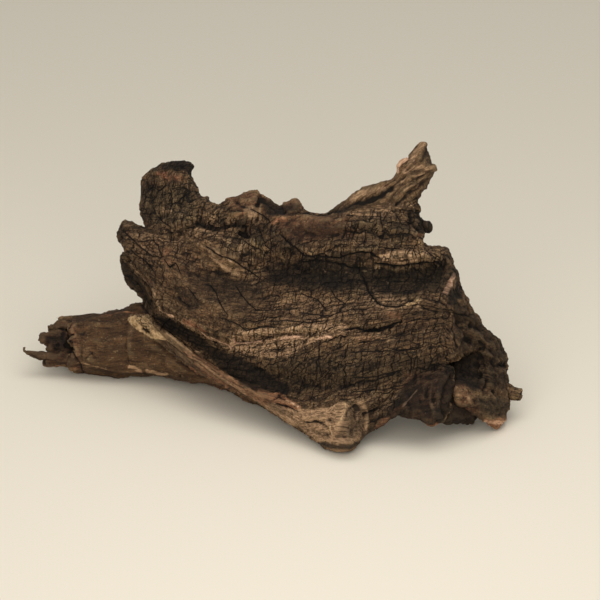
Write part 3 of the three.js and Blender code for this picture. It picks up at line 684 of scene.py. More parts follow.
        ([(45, 352), (58, 352), (68, 351)], 1.2, -1, "soot", 0.9),
        ([(42, 366), (58, 366), (72, 366)], 1.2, 0, "torn", 0.7),
        ([(88, 351), (95, 358)], 1.4, -0.8, "soot", 0.5),
        ([(86, 358), (91, 352)], 0.9, -0.8, "soot", 0.6),
        ([(84, 368), (104, 372), (128, 374)], 2.4, -0.6, "soot", 0.5),
        ([(72, 328), (78, 336), (84, 332)], 1.6, -0.8, "soot", 0.4),
        ([(104, 328), (126, 334), (140, 342)], 4, -1, "soot", 0.25),
        ([(96, 344), (124, 350), (150, 358)], 5, 0.8, "bleached", 0.12),
        ([(112, 376), (120, 378), (126, 376)], 2, 1.4, "soot", 0.7),
        ([(117, 318), (122, 324)], 1.2, -1, "soot", 0.7),
        ([(92, 320), (110, 318), (128, 322)], 2.4, -0.6, "soot", 0.35),
        ([(64, 330), (72, 326), (80, 322)], 1.4, 0.6, "torn", 0.5),
    ],
}
# Patches, one list for each tone: (outline, softness in pixels, strength).
patches = {
    "bleached": [
        ([(266, 402), (276, 402), (290, 409), (304, 409), (322, 409), (340, 406), (352, 402), (366, 400),
          (368, 414), (368, 432), (362, 450), (345, 458), (318, 455), (288, 432), (262, 412)], 3, 0.72),
        ([(378, 262), (383, 257), (391, 250), (403, 249), (418, 252), (424, 260), (402, 264)], 2, 1),
        ([(124, 230), (160, 231), (186, 240), (184, 248), (150, 244), (126, 240)], 5, 0.55),
        ([(138, 252), (152, 252), (152, 262), (140, 262)], 4, 0.5),
        ([(234, 240), (254, 240), (254, 258), (238, 256)], 3, 0.5),
        ([(340, 302), (380, 302), (380, 312), (336, 314)], 4, 0.5),
        ([(266, 316), (330, 317), (330, 324), (266, 324)], 3, 0.5),
        ([(250, 276), (259, 276), (260, 290), (250, 290)], 3, 0.5),
        ([(348, 238), (376, 242), (372, 248), (350, 247)], 2.5, 0.5),
        ([(374, 264), (382, 264), (380, 273), (362, 273), (362, 268)], 2, 0.5),
        ([(432, 402), (437, 402), (436, 411), (431, 410)], 1.5, 0.9),
        ([(186, 262), (196, 262), (197, 274), (187, 274)], 3, 0.5),
        ([(200, 214), (222, 214), (224, 240), (204, 238)], 4, 0.62),
        ([(238, 202), (260, 204), (266, 226), (252, 224)], 3, 0.65),
        ([(272, 262), (300, 264), (296, 274), (276, 272)], 4, 0.45),
        ([(240, 334), (270, 330), (270, 338), (240, 342)], 2.5, 1.2),
        ([(234, 341), (268, 340), (300, 338), (330, 338), (310, 346), (290, 356), (262, 358),
          (244, 353)], 3, 1.2),
        ([(228, 338), (262, 334), (312, 327), (332, 332), (300, 340), (262, 346), (234, 348)], 2.5, 1.6),
        ([(232, 334), (262, 328), (300, 324), (330, 324), (350, 326), (330, 337), (290, 337),
          (234, 341)], 2.5, 1),
        ([(270, 296), (310, 294), (350, 296), (390, 306), (404, 318), (360, 328), (300, 324),
          (268, 312)], 8, 0.45),
        ([(356, 284), (376, 284), (400, 296), (424, 300), (424, 312), (384, 314), (362, 304)], 6, 0.6),
        ([(420, 245), (436, 247), (440, 254), (424, 256)], 3, 0.5),
        ([(300, 330), (366, 328), (400, 336), (396, 344), (340, 338), (304, 338)], 4, 0.5),
        ([(190, 218), (228, 216), (246, 222), (256, 240), (226, 240), (160, 244), (128, 240), (124, 228),
          (160, 230)], 5, 0.42),
        ([(222, 232), (236, 230), (258, 240), (264, 262), (248, 262), (232, 246)], 5, 0.4),
        ([(128, 262), (142, 268), (156, 284), (160, 306), (148, 290), (132, 274)], 3, 0.4),
        ([(130, 240), (146, 244), (160, 258), (150, 262)], 4, 0.35),
        ([(168, 208), (182, 206), (184, 218), (174, 224)], 3, 0.4),
        ([(346, 212), (380, 204), (396, 201), (412, 206), (408, 216), (384, 220), (350, 218)], 3, 0.55),
        ([(356, 236), (388, 234), (390, 246), (360, 246)], 4, 0.5),
        ([(346, 393), (372, 393), (396, 390), (392, 400), (372, 412), (348, 402)], 4, 0.5),
        ([(452, 386), (464, 384), (474, 396), (472, 410), (459, 406), (452, 396)], 5, 0.3),
    ],
    "waxy": [
        ([(126, 320), (131, 317), (148, 316), (151, 321), (155, 329), (164, 336), (172, 343), (165, 342),
          (156, 339), (149, 339), (142, 334), (133, 328)], 1.2, 0.72),
    ],
    "torn": [
        ([(180, 344), (196, 354), (232, 376), (270, 392), (292, 404), (284, 414), (240, 399), (200, 375),
          (184, 358)], 3, 0.55),
        ([(266, 396), (276, 392), (288, 399), (304, 408), (292, 412), (274, 404)], 2, 0.7),
        ([(484, 417), (495, 419), (508, 416), (505, 425), (496, 429), (487, 424)], 1, 1),
        ([(205, 300), (219, 303), (222, 320), (226, 334), (208, 331), (196, 322), (182, 316),
          (190, 306)], 8, 0.36),
        ([(350, 334), (372, 334), (386, 337), (378, 342), (354, 342)], 3, 0.45),
        ([(160, 246), (172, 248), (172, 262), (168, 276), (162, 264)], 3, 0.5),
        ([(160, 168), (182, 174), (186, 182), (170, 182), (158, 176)], 2, 0.5),
        ([(38, 332), (50, 332), (46, 342), (40, 342)], 1.5, 0.4),
        ([(384, 308), (402, 310), (404, 320), (388, 320)], 3, 0.5),
    ],
    "rind": [
        ([(453, 272), (457, 275), (452, 287), (446, 295), (442, 293), (447, 284)], 1, 1),
    ],
    # The soot patches are partly soot and dirt and partly painted shade: the dark valley under the crest,
    # the shade under the ledge and the cord, the flank's caves, the gap between the flap and the heel, the
    # lower right edge of the pointed horn and the darker right of the belly.
    "soot": [
        ([(160, 312), (170, 320), (186, 330), (204, 341), (218, 350), (240, 356), (262, 368), (290, 391),
          (280, 394), (256, 386), (232, 372), (207, 352), (190, 339), (172, 325)], 2.5, 0.9),
        ([(154, 314), (166, 318), (188, 329), (206, 341), (212, 352), (196, 347), (178, 336),
          (164, 328)], 2, 1),
        ([(158, 341), (166, 341), (182, 352), (196, 366), (190, 368), (172, 356)], 2, 0.45),
        ([(222, 354), (248, 364), (250, 370), (228, 368)], 2, 1.1),
        ([(236, 376), (258, 386), (258, 392), (240, 386)], 2, 1),
        ([(205, 350), (222, 356), (246, 364), (268, 374), (292, 390), (286, 397), (262, 388), (240, 380),
          (222, 370)], 2.5, 1.2),
        ([(262, 264), (280, 258), (300, 260), (340, 262), (372, 266), (400, 270), (425, 266), (448, 256),
          (448, 276), (430, 288), (400, 288), (372, 282), (356, 292), (330, 293), (300, 289),
          (272, 283)], 5, 0.8),
        ([(300, 274), (330, 270), (360, 276), (356, 290), (328, 291)], 5, 1),
        ([(312, 220), (374, 220), (374, 230), (312, 231)], 3, 0.5),
        ([(332, 234), (372, 233), (372, 241), (332, 242)], 3, 0.45),
        ([(326, 250), (376, 250), (378, 258), (326, 259)], 3, 0.6),
        ([(204, 274), (222, 275), (222, 283), (206, 283)], 2.5, 0.8),
        ([(219, 215), (228, 215), (229, 227), (220, 227)], 2.5, 0.7),
        ([(235, 217), (246, 218), (247, 231), (236, 230)], 2.5, 0.8),
        ([(178, 291), (185, 292), (186, 306), (179, 305)], 2.5, 0.6),
        ([(196, 286), (203, 286), (204, 298), (197, 298)], 2.5, 0.6),
        ([(148, 281), (154, 281), (155, 297), (150, 297)], 2, 0.7),
        ([(446, 266), (462, 268), (460, 278), (448, 278)], 2.5, 0.8),
        ([(453, 322), (462, 324), (462, 338), (454, 338)], 3, 0.7),
        ([(436, 409), (446, 409), (446, 420), (436, 421)], 1.5, 2),
        ([(414, 398), (421, 398), (421, 411), (414, 411)], 2, 1),
        ([(444, 374), (454, 374), (450, 396), (443, 396)], 2, 1),
        ([(498, 338), (508, 342), (508, 354), (500, 354)], 2.5, 0.8),
        ([(364, 402), (382, 402), (384, 420), (366, 424)], 3, 0.6),
        ([(480, 356), (496, 352), (496, 380), (482, 384)], 4, 0.4),
        ([(226, 356), (250, 368), (270, 380), (286, 392), (262, 392), (240, 382), (224, 368)], 3, 0.8),
        ([(330, 346), (396, 344), (420, 352), (444, 358), (446, 374), (400, 384), (330, 388)], 8, 0.5),
        ([(410, 358), (444, 358), (446, 372), (408, 374)], 4, 0.6),
        ([(346, 409), (352, 405), (360, 405), (366, 411), (366, 424), (362, 434), (352, 439), (341, 440),
          (335, 437), (339, 428), (344, 418)], 1.4, 0.56),
        ([(366, 400), (404, 392), (404, 412), (384, 428), (366, 436)], 4, 0.55),
        ([(354, 284), (400, 280), (442, 278), (446, 290), (404, 296), (360, 296)], 4, 0.75),
        ([(400, 312), (448, 308), (452, 350), (404, 346)], 10, 0.35),
        ([(360, 432), (372, 428), (370, 446), (356, 452)], 3, 0.9),
        ([(446, 290), (458, 286), (460, 306), (448, 306)], 2.5, 1),
        ([(146, 252), (190, 256), (204, 286), (166, 292)], 8, 0.25),
        ([(300, 264), (352, 268), (360, 282), (330, 290), (296, 284)], 4, 0.5),
        ([(186, 274), (212, 272), (240, 278), (266, 292), (268, 306), (240, 304), (205, 294),
          (186, 288)], 6, 0.6),
        ([(182, 290), (194, 288), (206, 306), (192, 312), (182, 304)], 4, 0.6),
        ([(194, 282), (214, 282), (250, 298), (266, 312), (236, 318), (206, 300)], 7, 0.45),
        ([(266, 236), (300, 238), (306, 256), (284, 258), (270, 252)], 5, 0.6),
        ([(300, 256), (350, 255), (366, 262), (352, 271), (300, 267)], 3, 0.7),
        ([(392, 222), (412, 222), (416, 240), (396, 240)], 4, 0.6),
        ([(444, 268), (454, 268), (450, 300), (440, 300)], 3, 0.6),
        ([(436, 378), (450, 366), (478, 368), (484, 384), (476, 392), (460, 386), (446, 402),
          (438, 396)], 3, 1),
        ([(330, 440), (362, 438), (362, 452), (332, 452)], 2.5, 0.4),
        ([(256, 224), (300, 222), (350, 222), (354, 234), (300, 236), (262, 246), (252, 236)], 5, 0.6),
        ([(300, 240), (344, 238), (350, 246), (304, 250)], 4, 0.4),
        ([(444, 364), (455, 361), (462, 356), (470, 352), (480, 352), (482, 358), (476, 368), (468, 376),
          (456, 380), (446, 373)], 2, 1.3),
        ([(452, 296), (470, 304), (488, 325), (508, 345), (512, 384), (500, 392), (472, 388),
          (456, 352)], 5, 0.62),
        ([(366, 404), (380, 400), (400, 394), (416, 384), (412, 396), (400, 408), (384, 422),
          (368, 430)], 4, 0.6),
        ([(386, 412), (398, 394), (410, 378), (420, 380), (420, 400), (414, 418), (388, 426)], 3, 0.9),
        ([(240, 360), (345, 356), (430, 352), (444, 362), (400, 386), (355, 392), (300, 400),
          (268, 386)], 10, 0.4),
        ([(340, 366), (380, 362), (380, 382), (336, 384)], 6, 0.35),
        ([(119, 262), (126, 262), (138, 278), (147, 290), (152, 308), (154, 314), (146, 312), (138, 302),
          (122, 284)], 3, 0.7),
        ([(138, 262), (146, 270), (152, 286), (150, 296), (142, 280)], 3, 0.5),
        ([(436, 412), (442, 396), (450, 396), (462, 408), (478, 414), (480, 424), (438, 426)], 3, 1.25),
        ([(412, 372), (450, 372), (450, 384), (441, 412), (434, 427), (418, 422), (404, 416)], 3, 0.74),
        ([(30, 330), (50, 318), (66, 322), (72, 345), (78, 366), (40, 370), (20, 356)], 2, 0.62),
        ([(262, 196), (272, 200), (282, 206), (286, 214), (270, 216), (262, 208)], 2.5, 0.9),
        ([(282, 204), (298, 205), (304, 213), (286, 214)], 2.5, 0.7),
        ([(228, 206), (256, 208), (262, 214), (232, 212), (206, 208)], 3, 0.4),
        ([(318, 214), (345, 206), (362, 202), (364, 208), (330, 216)], 3, 0.5),
        ([(160, 166), (176, 161), (192, 162), (195, 172), (186, 171), (172, 170)], 1.8, 1.1),
        ([(172, 186), (196, 182), (202, 200), (180, 204)], 4, 0.5),
        ([(139, 180), (150, 180), (152, 200), (154, 222), (140, 222)], 4, 0.55),
        ([(164, 347), (178, 355), (192, 364), (208, 375), (202, 379), (184, 368), (168, 356)], 3, 0.5),
        ([(262, 396), (276, 402), (290, 410), (286, 416), (270, 408)], 2, 0.6),
        ([(384, 400), (404, 398), (406, 412), (384, 424)], 3, 0.4),
        ([(426, 148), (431, 152), (436, 166), (430, 182), (422, 196), (416, 198), (422, 184),
          (429, 168)], 2, 0.4),
        ([(408, 214), (418, 216), (420, 230), (410, 226)], 2.5, 0.6),
        ([(456, 300), (468, 312), (480, 326), (476, 340), (462, 334), (454, 318)], 4, 0.5),
        ([(416, 217), (436, 220), (436, 234), (418, 233)], 2, 1.6),
        ([(444, 244), (456, 246), (458, 268), (448, 262)], 3, 0.5),
        ([(454, 288), (464, 284), (464, 300), (454, 300)], 2, 1),
        ([(472, 398), (508, 398), (510, 418), (480, 416)], 4, 0.6),
        ([(118, 220), (126, 226), (126, 244), (118, 240)], 3, 0.5),
        ([(66, 314), (110, 310), (132, 316), (126, 326), (96, 322), (70, 322)], 4, 0.35),
    ],
    # Where the crust is redder or greyer than the rest.
    "warm": [
        ([(118, 222), (150, 232), (185, 245), (215, 262), (212, 300), (190, 312), (160, 290),
          (130, 252)], 12, 0.35),
        ([(272, 216), (352, 217), (355, 236), (300, 242), (280, 234)], 5, 0.8),
        ([(228, 192), (262, 190), (304, 202), (302, 216), (250, 216), (230, 208)], 5, 0.7),
        ([(404, 372), (452, 370), (478, 404), (478, 428), (404, 428)], 6, 0.9),
        ([(36, 318), (74, 322), (80, 370), (20, 368)], 4, 0.8),
        ([(255, 292), (330, 290), (335, 330), (250, 330)], 12, 0.2),
        ([(380, 306), (440, 312), (450, 345), (385, 330)], 10, 0.28),
    ],
    "olive": [
        ([(140, 186), (190, 184), (205, 225), (150, 226)], 8, 0.6),
        ([(222, 230), (268, 236), (268, 262), (228, 252)], 8, 0.6),
        ([(360, 208), (404, 206), (410, 250), (360, 250)], 8, 0.5),
        ([(300, 262), (446, 262), (446, 292), (300, 292)], 8, 0.6),
        ([(250, 356), (440, 350), (430, 380), (290, 400)], 12, 0.5),
        ([(476, 394), (506, 396), (508, 416), (480, 416)], 5, 0.6),
        ([(344, 400), (366, 400), (366, 436), (344, 438)], 4, 0.6),
        ([(362, 288), (424, 288), (424, 306), (370, 308)], 6, 0.5),
    ],
}
# How far the skin has opened into blocks: 1 fully, 0 not at all.
checkedAreas = [
    ([(165, 258), (235, 276), (262, 300), (240, 330), (190, 318), (165, 300)], 10, 0.5),
    ([(186, 236), (240, 258), (242, 275), (214, 268), (186, 250)], 4, 0.3),
    ([(272, 214), (345, 216), (345, 237), (288, 239)], 3, 0.2),
    ([(322, 216), (345, 212), (385, 208), (404, 206), (440, 175), (430, 136), (395, 160),
      (350, 185)], 4, 0.3),
    ([(226, 188), (306, 194), (306, 214), (270, 219), (232, 216)], 3, 0.35),
    ([(404, 372), (512, 384), (512, 432), (400, 430)], 5, 0.3),
    ([(452, 288), (512, 340), (512, 384), (450, 362)], 5, 0.45),
    ([(262, 398), (300, 408), (342, 405), (368, 399), (372, 460), (300, 460), (240, 412)], 2, 0.05),
    ([(150, 322), (182, 342), (232, 378), (275, 395), (300, 410), (270, 420), (200, 380),
      (150, 340)], 2, 0.05),
]
# Where decay left the wood lumpy: (outline, softness in pixels, mm).
lumpyAreas = [
    ([(452, 290), (472, 300), (490, 328), (510, 350), (510, 392), (480, 392), (452, 360)], 5, 2.6),
    ([(404, 372), (452, 370), (478, 404), (478, 428), (404, 428)], 4, 1.8),
    ([(452, 380), (512, 380), (512, 430), (476, 430)], 4, 1.8),
    ([(226, 188), (306, 194), (306, 216), (250, 218), (226, 210)], 4, 1.6),
    ([(139, 160), (196, 160), (206, 226), (142, 228)], 5, 1.2),
    ([(395, 180), (440, 160), (440, 240), (404, 236)], 4, 1.4),
    ([(36, 314), (76, 318), (82, 372), (36, 372)], 4, 2.8),
    ([(340, 400), (372, 398), (372, 460), (320, 460)], 3, 0.8),
]
# Parts pushed sideways in the picture's plane: (x, y, reach, right, down), all in pixels.
pushes = [
    (520, 390, 15, 0, 3.4),
    (60, 371, 10, 0, -3.6),
    (508, 356, 8, -1.5, 0),
]
# Stretches of the wood's outline, drawn out or in: (line, reach in pixels, mm).
edgeMoves = {
    "top of the blunt horn": ([(150, 171), (161, 164), (175, 162), (184, 163)], 5, 0.4),
    "left of the blunt horn": ([(139, 196), (139, 210), (142, 220)], 5, -0.4),
    "right of the blunt horn": ([(193, 174), (197, 186), (201, 194)], 4, -1.6),
    "tooth below the blunt horn": ([(204, 200), (207, 198)], 3, 1.2),
    "left lobe": ([(122, 219), (119, 224), (118, 230)], 5, 0.8),
    "below the left lobe": ([(129, 276), (138, 290), (145, 302)], 5, -3),
    "top of the limb": ([(100, 310), (112, 308), (124, 306)], 6, -1.6),
    "shoulder of the bumps": ([(214, 203), (226, 200), (233, 197)], 5, 0.4),
    "first bump": ([(244, 192), (252, 190), (262, 193)], 5, 1),
    "second bump": ([(284, 201), (291, 199), (300, 203)], 4, 0.8),
    "tip of the pointed horn": ([(424, 143), (428, 152), (432, 163)], 4, -0.4),
    "point on the horn": ([(435, 168), (438, 169)], 3, 1),
    "right of the pointed horn": ([(436, 175), (430, 186), (424, 198), (418, 208)], 5, -2.6),
    "notch over the knob": ([(420, 213), (424, 219)], 4, -2.4),
    "knob": ([(420, 222), (432, 227)], 6, 3),
    "upper right edge": ([(452, 246), (453, 258), (458, 270)], 5, 0.1),
    "flank": ([(460, 284), (470, 302), (481, 318), (488, 326)], 6, -2.2),
    "corner of the flap": ([(436, 410), (440, 418)], 5, 4),
    "left of the heel": ([(447, 410), (447, 420)], 4, 3),
    "root lobe": ([(507, 386), (508, 400), (507, 415)], 4, -0.8),
    "sole of the foot": ([(325, 452), (345, 456), (362, 450)], 4, -1),
}
tones = ("soot", "torn", "bleached", "waxy", "rind", "warm", "olive")


def crackSides(x, y):
    # Pixels from the nearest crack, with a sign for its side, and how much of a crack is there.
    # A distance with a sign stays sharp between the points of the mesh.
    reach, far, ends = 6, 9.0, 2.5  # pixels: how far a crack counts, and how long its ends run out
    nearest = np.full(len(x), far)
    present = np.zeros(len(x))
    for line in cracks["wide"] + cracks["narrow"]:
        xs, ys = zip(*line)
        near = (x > min(xs) - reach) & (x < max(xs) + reach)
        near &= (y > min(ys) - reach) & (y < max(ys) + reach)
        box = np.nonzero(near)[0]
        px, py = x[box], y[box]
        best = np.full(len(box), far)
        share = np.zeros(len(box))
        for i, ((ax, ay), (bx, by)) in enumerate(zip(line, line[1:])):
            length = math.hypot(bx - ax, by - ay)
            along = ((px - ax) * (bx - ax) + (py - ay) * (by - ay)) / length
            held = np.clip(along, 0, length)
            distance = np.hypot(px - ax - held * (bx - ax) / length, py - ay - held * (by - ay) / length)
            side = np.where((bx - ax) * (py - ay) - (by - ay) * (px - ax) < 0, -1, 1)
            past = np.zeros(len(box))
            if i == 0:
                past = np.maximum(past, ends - along)
            if i == len(line) - 2:
                past = np.maximum(past, along - length + ends)
            closer = distance < np.abs(best)
            best = np.where(closer, side * distance, best)
            share = np.where(closer, 1 - smoothStep(0, 3, past), share)
        closer = np.abs(best) < np.abs(nearest[box])
        nearest[box] = np.where(closer, best, nearest[box])
        present[box] = np.where(closer, share, present[box])
    return nearest, present


def evenOut(mesh, edges):  # takes the facets out, and more of the limb's
    points = readPoints(mesh)
    x, y, out = onPicture(points)
    freedom = np.ones(len(points))
    for cx, cy, reach in wood["keepSharp"]:
        away = smoothStep(reach * 0.6, reach, np.hypot(x - cx, y - cy))
        freedom = np.minimum(freedom, away * 0.8 + 0.2)
    freedom *= smoothStep(0, 2, points[:, 2]) * 0.7 + 0.3
    points = evened(points, edges, wood["evening"], freedom)
    for cx, cy, reach, right, down in pushes:
        fade = np.exp(-((np.hypot(x - cx, y - cy) / reach) ** 2))[:, None]
        points = points + fade * (fromPicture(cx + right, cy + down, 0) - fromPicture(cx, cy, 0))
    share = limbShare(points)[0]
    share *= smoothStep(*wood["limbStart"], x) * smoothStep(*wood["limbFoot"], points[:, 2])
    points = evened(points, edges[(share[edges] > 0).all(1)], wood["limbEvening"], share)
    writePoints(mesh, points)
    return points


def seenFromFront(x, y, out, normals):
    # The nearest skin at each pixel of the camera's side, and how far the rest lies behind it.
    cells = picture["size"] // 2
    cell = tuple(np.clip(place / 2, 0, cells - 1).astype(int) for place in (y, x))
    nearest = np.full((cells, cells), -1e9)
    np.maximum.at(nearest, cell, out)
    behind = nearest[cell] - out
    turn = normals @ np.array(faceNormal)
    return smoothStep(*wood["seenBehind"], behind) * smoothStep(*wood["seenTurn"], turn), behind


def drawMarks(x, y, ragged, shown, rise, tint):
    rows = [row for feature in marks.values() for row in feature]
    rows += [(line, *crackMarks[kind]) for kind in cracks for line in cracks[kind]]
    for line, wide, height, tone, strength in rows:
        xs, ys = zip(*line)
        near = (x > min(xs) - 3 * wide) & (x < max(xs) + 3 * wide)
        near &= (y > min(ys) - 3 * wide) & (y < max(ys) + 3 * wide) & (shown > 0)
        distance = distanceTo(line, x[near] + 0.5 * ragged[near], y[near] + 0.5 * ragged[near])
        fade = np.exp(-((distance / wide) ** 2)) * shown[near]
        rise[near] += height * fade
        tint[tone][near] = np.maximum(tint[tone][near], strength * fade)
    for tone, areas in patches.items():
        for outline, soft, strength in areas:
            fade = smoothStep(-soft, soft, depthInside(outline, x + ragged, y + 0.7 * ragged)) * shown
            tint[tone] = np.maximum(tint[tone], strength * fade)


# Out of the camera's sight the same weathering goes on, placed by chance:
# (size in mm, seed, none at, full at, strength).
hiddenTones = {
    "soot": (45, 11, 0.1, 0.6, 0.7),
    "torn": (26, 12, 0.45, 0.8, 0.6),
    "bleached": (34, 13, 0.5, 0.85, 0.6),
    "warm": (60, 16, 0.1, 0.7, 1),
    "olive": (40, 21, 0.1, 0.6, 0.8),
}
# Seeded noise that lifts and lowers the skin: (mm, size in mm, seed, stretch of the grain).
unevenness = {
    "limb": [(1.1, 16, 24, None), (0.9, 9, 25, (0.3, 1, 1))],
    "face": [(0.8, 7, 15, (0.25, 1, 0.7))],
    "all": [(0.7, 6, 17, None), (0.6, 2.8, 18, None)],
}
# Folds of decayed wood, which follow the zero lines of a noise.
folds = {
    "noise": [(1, 11, 14, (0.5, 1, 1)), (0.6, 5, 22, None)],  # share, size in mm, seed, stretch
    "level": 0.45,
    "steep": 1.5,
    "hidden": 1.2,  # mm, out of the camera's sight
}
limbFirm = 0.75  # share of the unevenness that the limb is without
edgeFade = (30, 20)  # mm behind the edge, from none of a move to all
edgeNoise = {"share": 0.6, "size": 4, "seed": 23}


def noiseOver(points, grain, size, seed, stretch):
    return wander(points if stretch is None else grain * np.array(stretch), size, seed)


def roughen(points, x, y, grain, onLimb, shown, behind, rise):
    lumpy = (1 - shown) * folds["hidden"]
    for outline, soft, amount in lumpyAreas:
        lumpy = np.maximum(lumpy, amount * smoothStep(-soft, soft, depthInside(outline, x, y)))
    for share, size, seed, stretch in folds["noise"]:
        crease = np.abs(noiseOver(points, grain, size, seed, stretch))
        rise += lumpy * share * (folds["level"] - crease * folds["steep"])
    loose = 1 - limbFirm * onLimb
    where = {"limb": onLimb * shown, "face": shown * loose, "all": loose}
    for place, rows in unevenness.items():
        for height, size, seed, stretch in rows:
            rise += where[place] * height * noiseOver(points, grain, size, seed, stretch)
    uneven = 1 + edgeNoise["share"] * wander(points, edgeNoise["size"], edgeNoise["seed"])
    for line, reach, height in edgeMoves.values():
        fade = np.exp(-((distanceTo(line, x, y) / reach) ** 2)) * smoothStep(*edgeFade, behind)
        rise += height * fade * uneven
    rise *= smoothStep(0, 3, points[:, 2])


def storeValues(mesh, values):
    for name, value in values.items():
        vector = value.ndim == 2
        layer = mesh.attributes.new(name, "FLOAT_VECTOR" if vector else "FLOAT", "POINT")
        layer.data.foreach_set("vector" if vector else "value", value.astype(np.float32).ravel())


def weather(piece):
    mesh = piece.data
    edges = readEdges(mesh)
    points = evenOut(mesh, edges)
    normals = readNormals(mesh)
    x, y, out = onPicture(points)
    shown, behind = seenFromFront(x, y, out, normals)
    ragged = sum(amount * wander(points, size, seed) for amount, size, seed in wood["ragged"])
    tint = {tone: np.zeros(len(points)) for tone in tones}
    rise = np.full(len(points), wood["swell"])
    drawMarks(x, y, ragged, shown, rise, tint)
    for tone, (size, seed, low, high, strength) in hiddenTones.items():
        chance = smoothStep(low, high, wander(points, size, seed))
        tint[tone] = np.maximum(tint[tone], (1 - shown) * chance * strength)
    grain, onLimb = grainOf(points, x, y, out)
    roughen(points, x, y, grain, onLimb, shown, behind, rise)
    points = points + normals * rise[:, None]
    writePoints(mesh, points)
    count = np.bincount(edges.ravel(), minlength=len(points)).clip(1)
    even = points
    for turn in range(wood["bulgePasses"]):
        even = neighbourMean(even, edges, count)
    bulge = np.einsum("ij,ij->i", points - even, readNormals(mesh))
    checked = 1 - onLimb
    for outline, soft, amount in checkedAreas:
        inside = smoothStep(-soft, soft, depthInside(outline, x + 2 * ragged, y + 2 * ragged))
        checked *= 1 - (1 - amount) * inside * shown
    checked *= 1 - np.clip(0.6 * tint["torn"] + tint["rind"], 0, 1)
    side, present = crackSides(x + 0.6 * ragged, y + 0.6 * ragged)
    storeValues(mesh, tint | {
        "grain": grain, "checked": checked, "limb": onLimb, "bulge": np.clip(bulge, -2, 2),
        "shown": shown, "crackSide": side, "crackShare": present * shown,
    })


# Drying checks: the skin shrinks more than the wood under it and opens along the grain into strips,
# and each strip parts across into blocks. All in mm.
checks = {
    "broad": {"strip": 13, "block": 15, "gap": 1.15, "deep": 1.2, "shift": 3.7},
    "fine": {"strip": 5.4, "block": 6.2, "gap": 0.8, "deep": 0.5, "shift": 11.2},
    "hair": {"strip": 2.8, "block": 3.8, "gap": 0.5, "deep": 0, "shift": 5.1},
    "sway": 10,  # how far the lines stray
    "swayScale": 0.11,
    "uneven": 0.85,  # how much the strips and blocks differ in width
    "closed": 0.2,  # width of a check that has closed again
    "hiddenShare": 0.4,  # shallower out of sight, which saves triangles for the face
}
fibreRidges = {"stretch": (0.03, 0.45, 0.25), "height": 1.6}  # mm


def checkLines(tree, grain, size):
    stray = addNode(tree, "ShaderNodeTexNoise",
                    {"Vector": grain, "Scale": checks["swayScale"], "Detail": 4.0, "Roughness": 0.56})
    middle = addNode(tree, "ShaderNodeVectorMath", {0: stray.outputs["Color"], 1: (0.5, 0.5, 0.5)},
                     operation="SUBTRACT")
    sway = addNode(tree, "ShaderNodeVectorMath", {0: middle, "Scale": checks["sway"]}, operation="SCALE")
    bent = addNode(tree, "ShaderNodeVectorMath", {0: grain, 1: sway}, operation="ADD")
    parts = addNode(tree, "ShaderNodeSeparateXYZ", {0: bent})
    along = addNode(tree, "ShaderNodeMath", {0: parts.outputs[2], 1: 0.25, 2: parts.outputs[0]},
                    operation="MULTIPLY_ADD")
    across = addNode(tree, "ShaderNodeMath", {0: parts.outputs[2], 1: 0.6, 2: parts.outputs[1]},
                     operation="MULTIPLY_ADD")
    strips = addNode(tree, "ShaderNodeMath", {0: across, 1: 1 / size["strip"], 2: size["shift"]},
                     operation="MULTIPLY_ADD")
    # Every strip has its own colour, which sets where its blocks start.
    uneven = checks["uneven"]
    strip = addNode(tree, "ShaderNodeTexVoronoi", {"W": strips, "Scale": 1.0, "Randomness": uneven},
                    voronoi_dimensions="1D", feature="F1")
    own = addNode(tree, "ShaderNodeSeparateXYZ", {0: strip.outputs["Color"]})
    start = addNode(tree, "ShaderNodeMath", {0: own.outputs[0], 1: 97.0}, operation="MULTIPLY")
    blocks = addNode(tree, "ShaderNodeMath", {0: along, 1: 1 / size["block"], 2: start},
                     operation="MULTIPLY_ADD")
    toGap = []
    for place, wide in ((strips, size["strip"]), (blocks, size["block"])):
        edge = addNode(tree, "ShaderNodeTexVoronoi", {"W": place, "Scale": 1.0, "Randomness": uneven},
                       voronoi_dimensions="1D", feature="DISTANCE_TO_EDGE")
        toGap.append(addNode(tree, "ShaderNodeMath", {0: edge, 1: wide}, operation="MULTIPLY"))
    nearest = addNode(tree, "ShaderNodeMath", {0: toGap[0], 1: toGap[1]}, operation="MINIMUM")
    # Some checks gape and some have closed.
    gape = addNode(tree, "ShaderNodeTexNoise",
                   {"Vector": grain, "Scale": 1.1 / size["block"], "Detail": 2.0})
    width = addNode(tree, "ShaderNodeMapRange",
                    {"Value": gape, "From Min": 0.4, "From Max": 0.58, "To Min": checks["closed"],
                     "To Max": size["gap"]})
    return addNode(tree, "ShaderNodeMapRange",
                   {"Value": nearest, "From Min": 0.08, "From Max": width, "To Min": 1.0, "To Max": 0.0},
                   interpolation_type="SMOOTHSTEP")


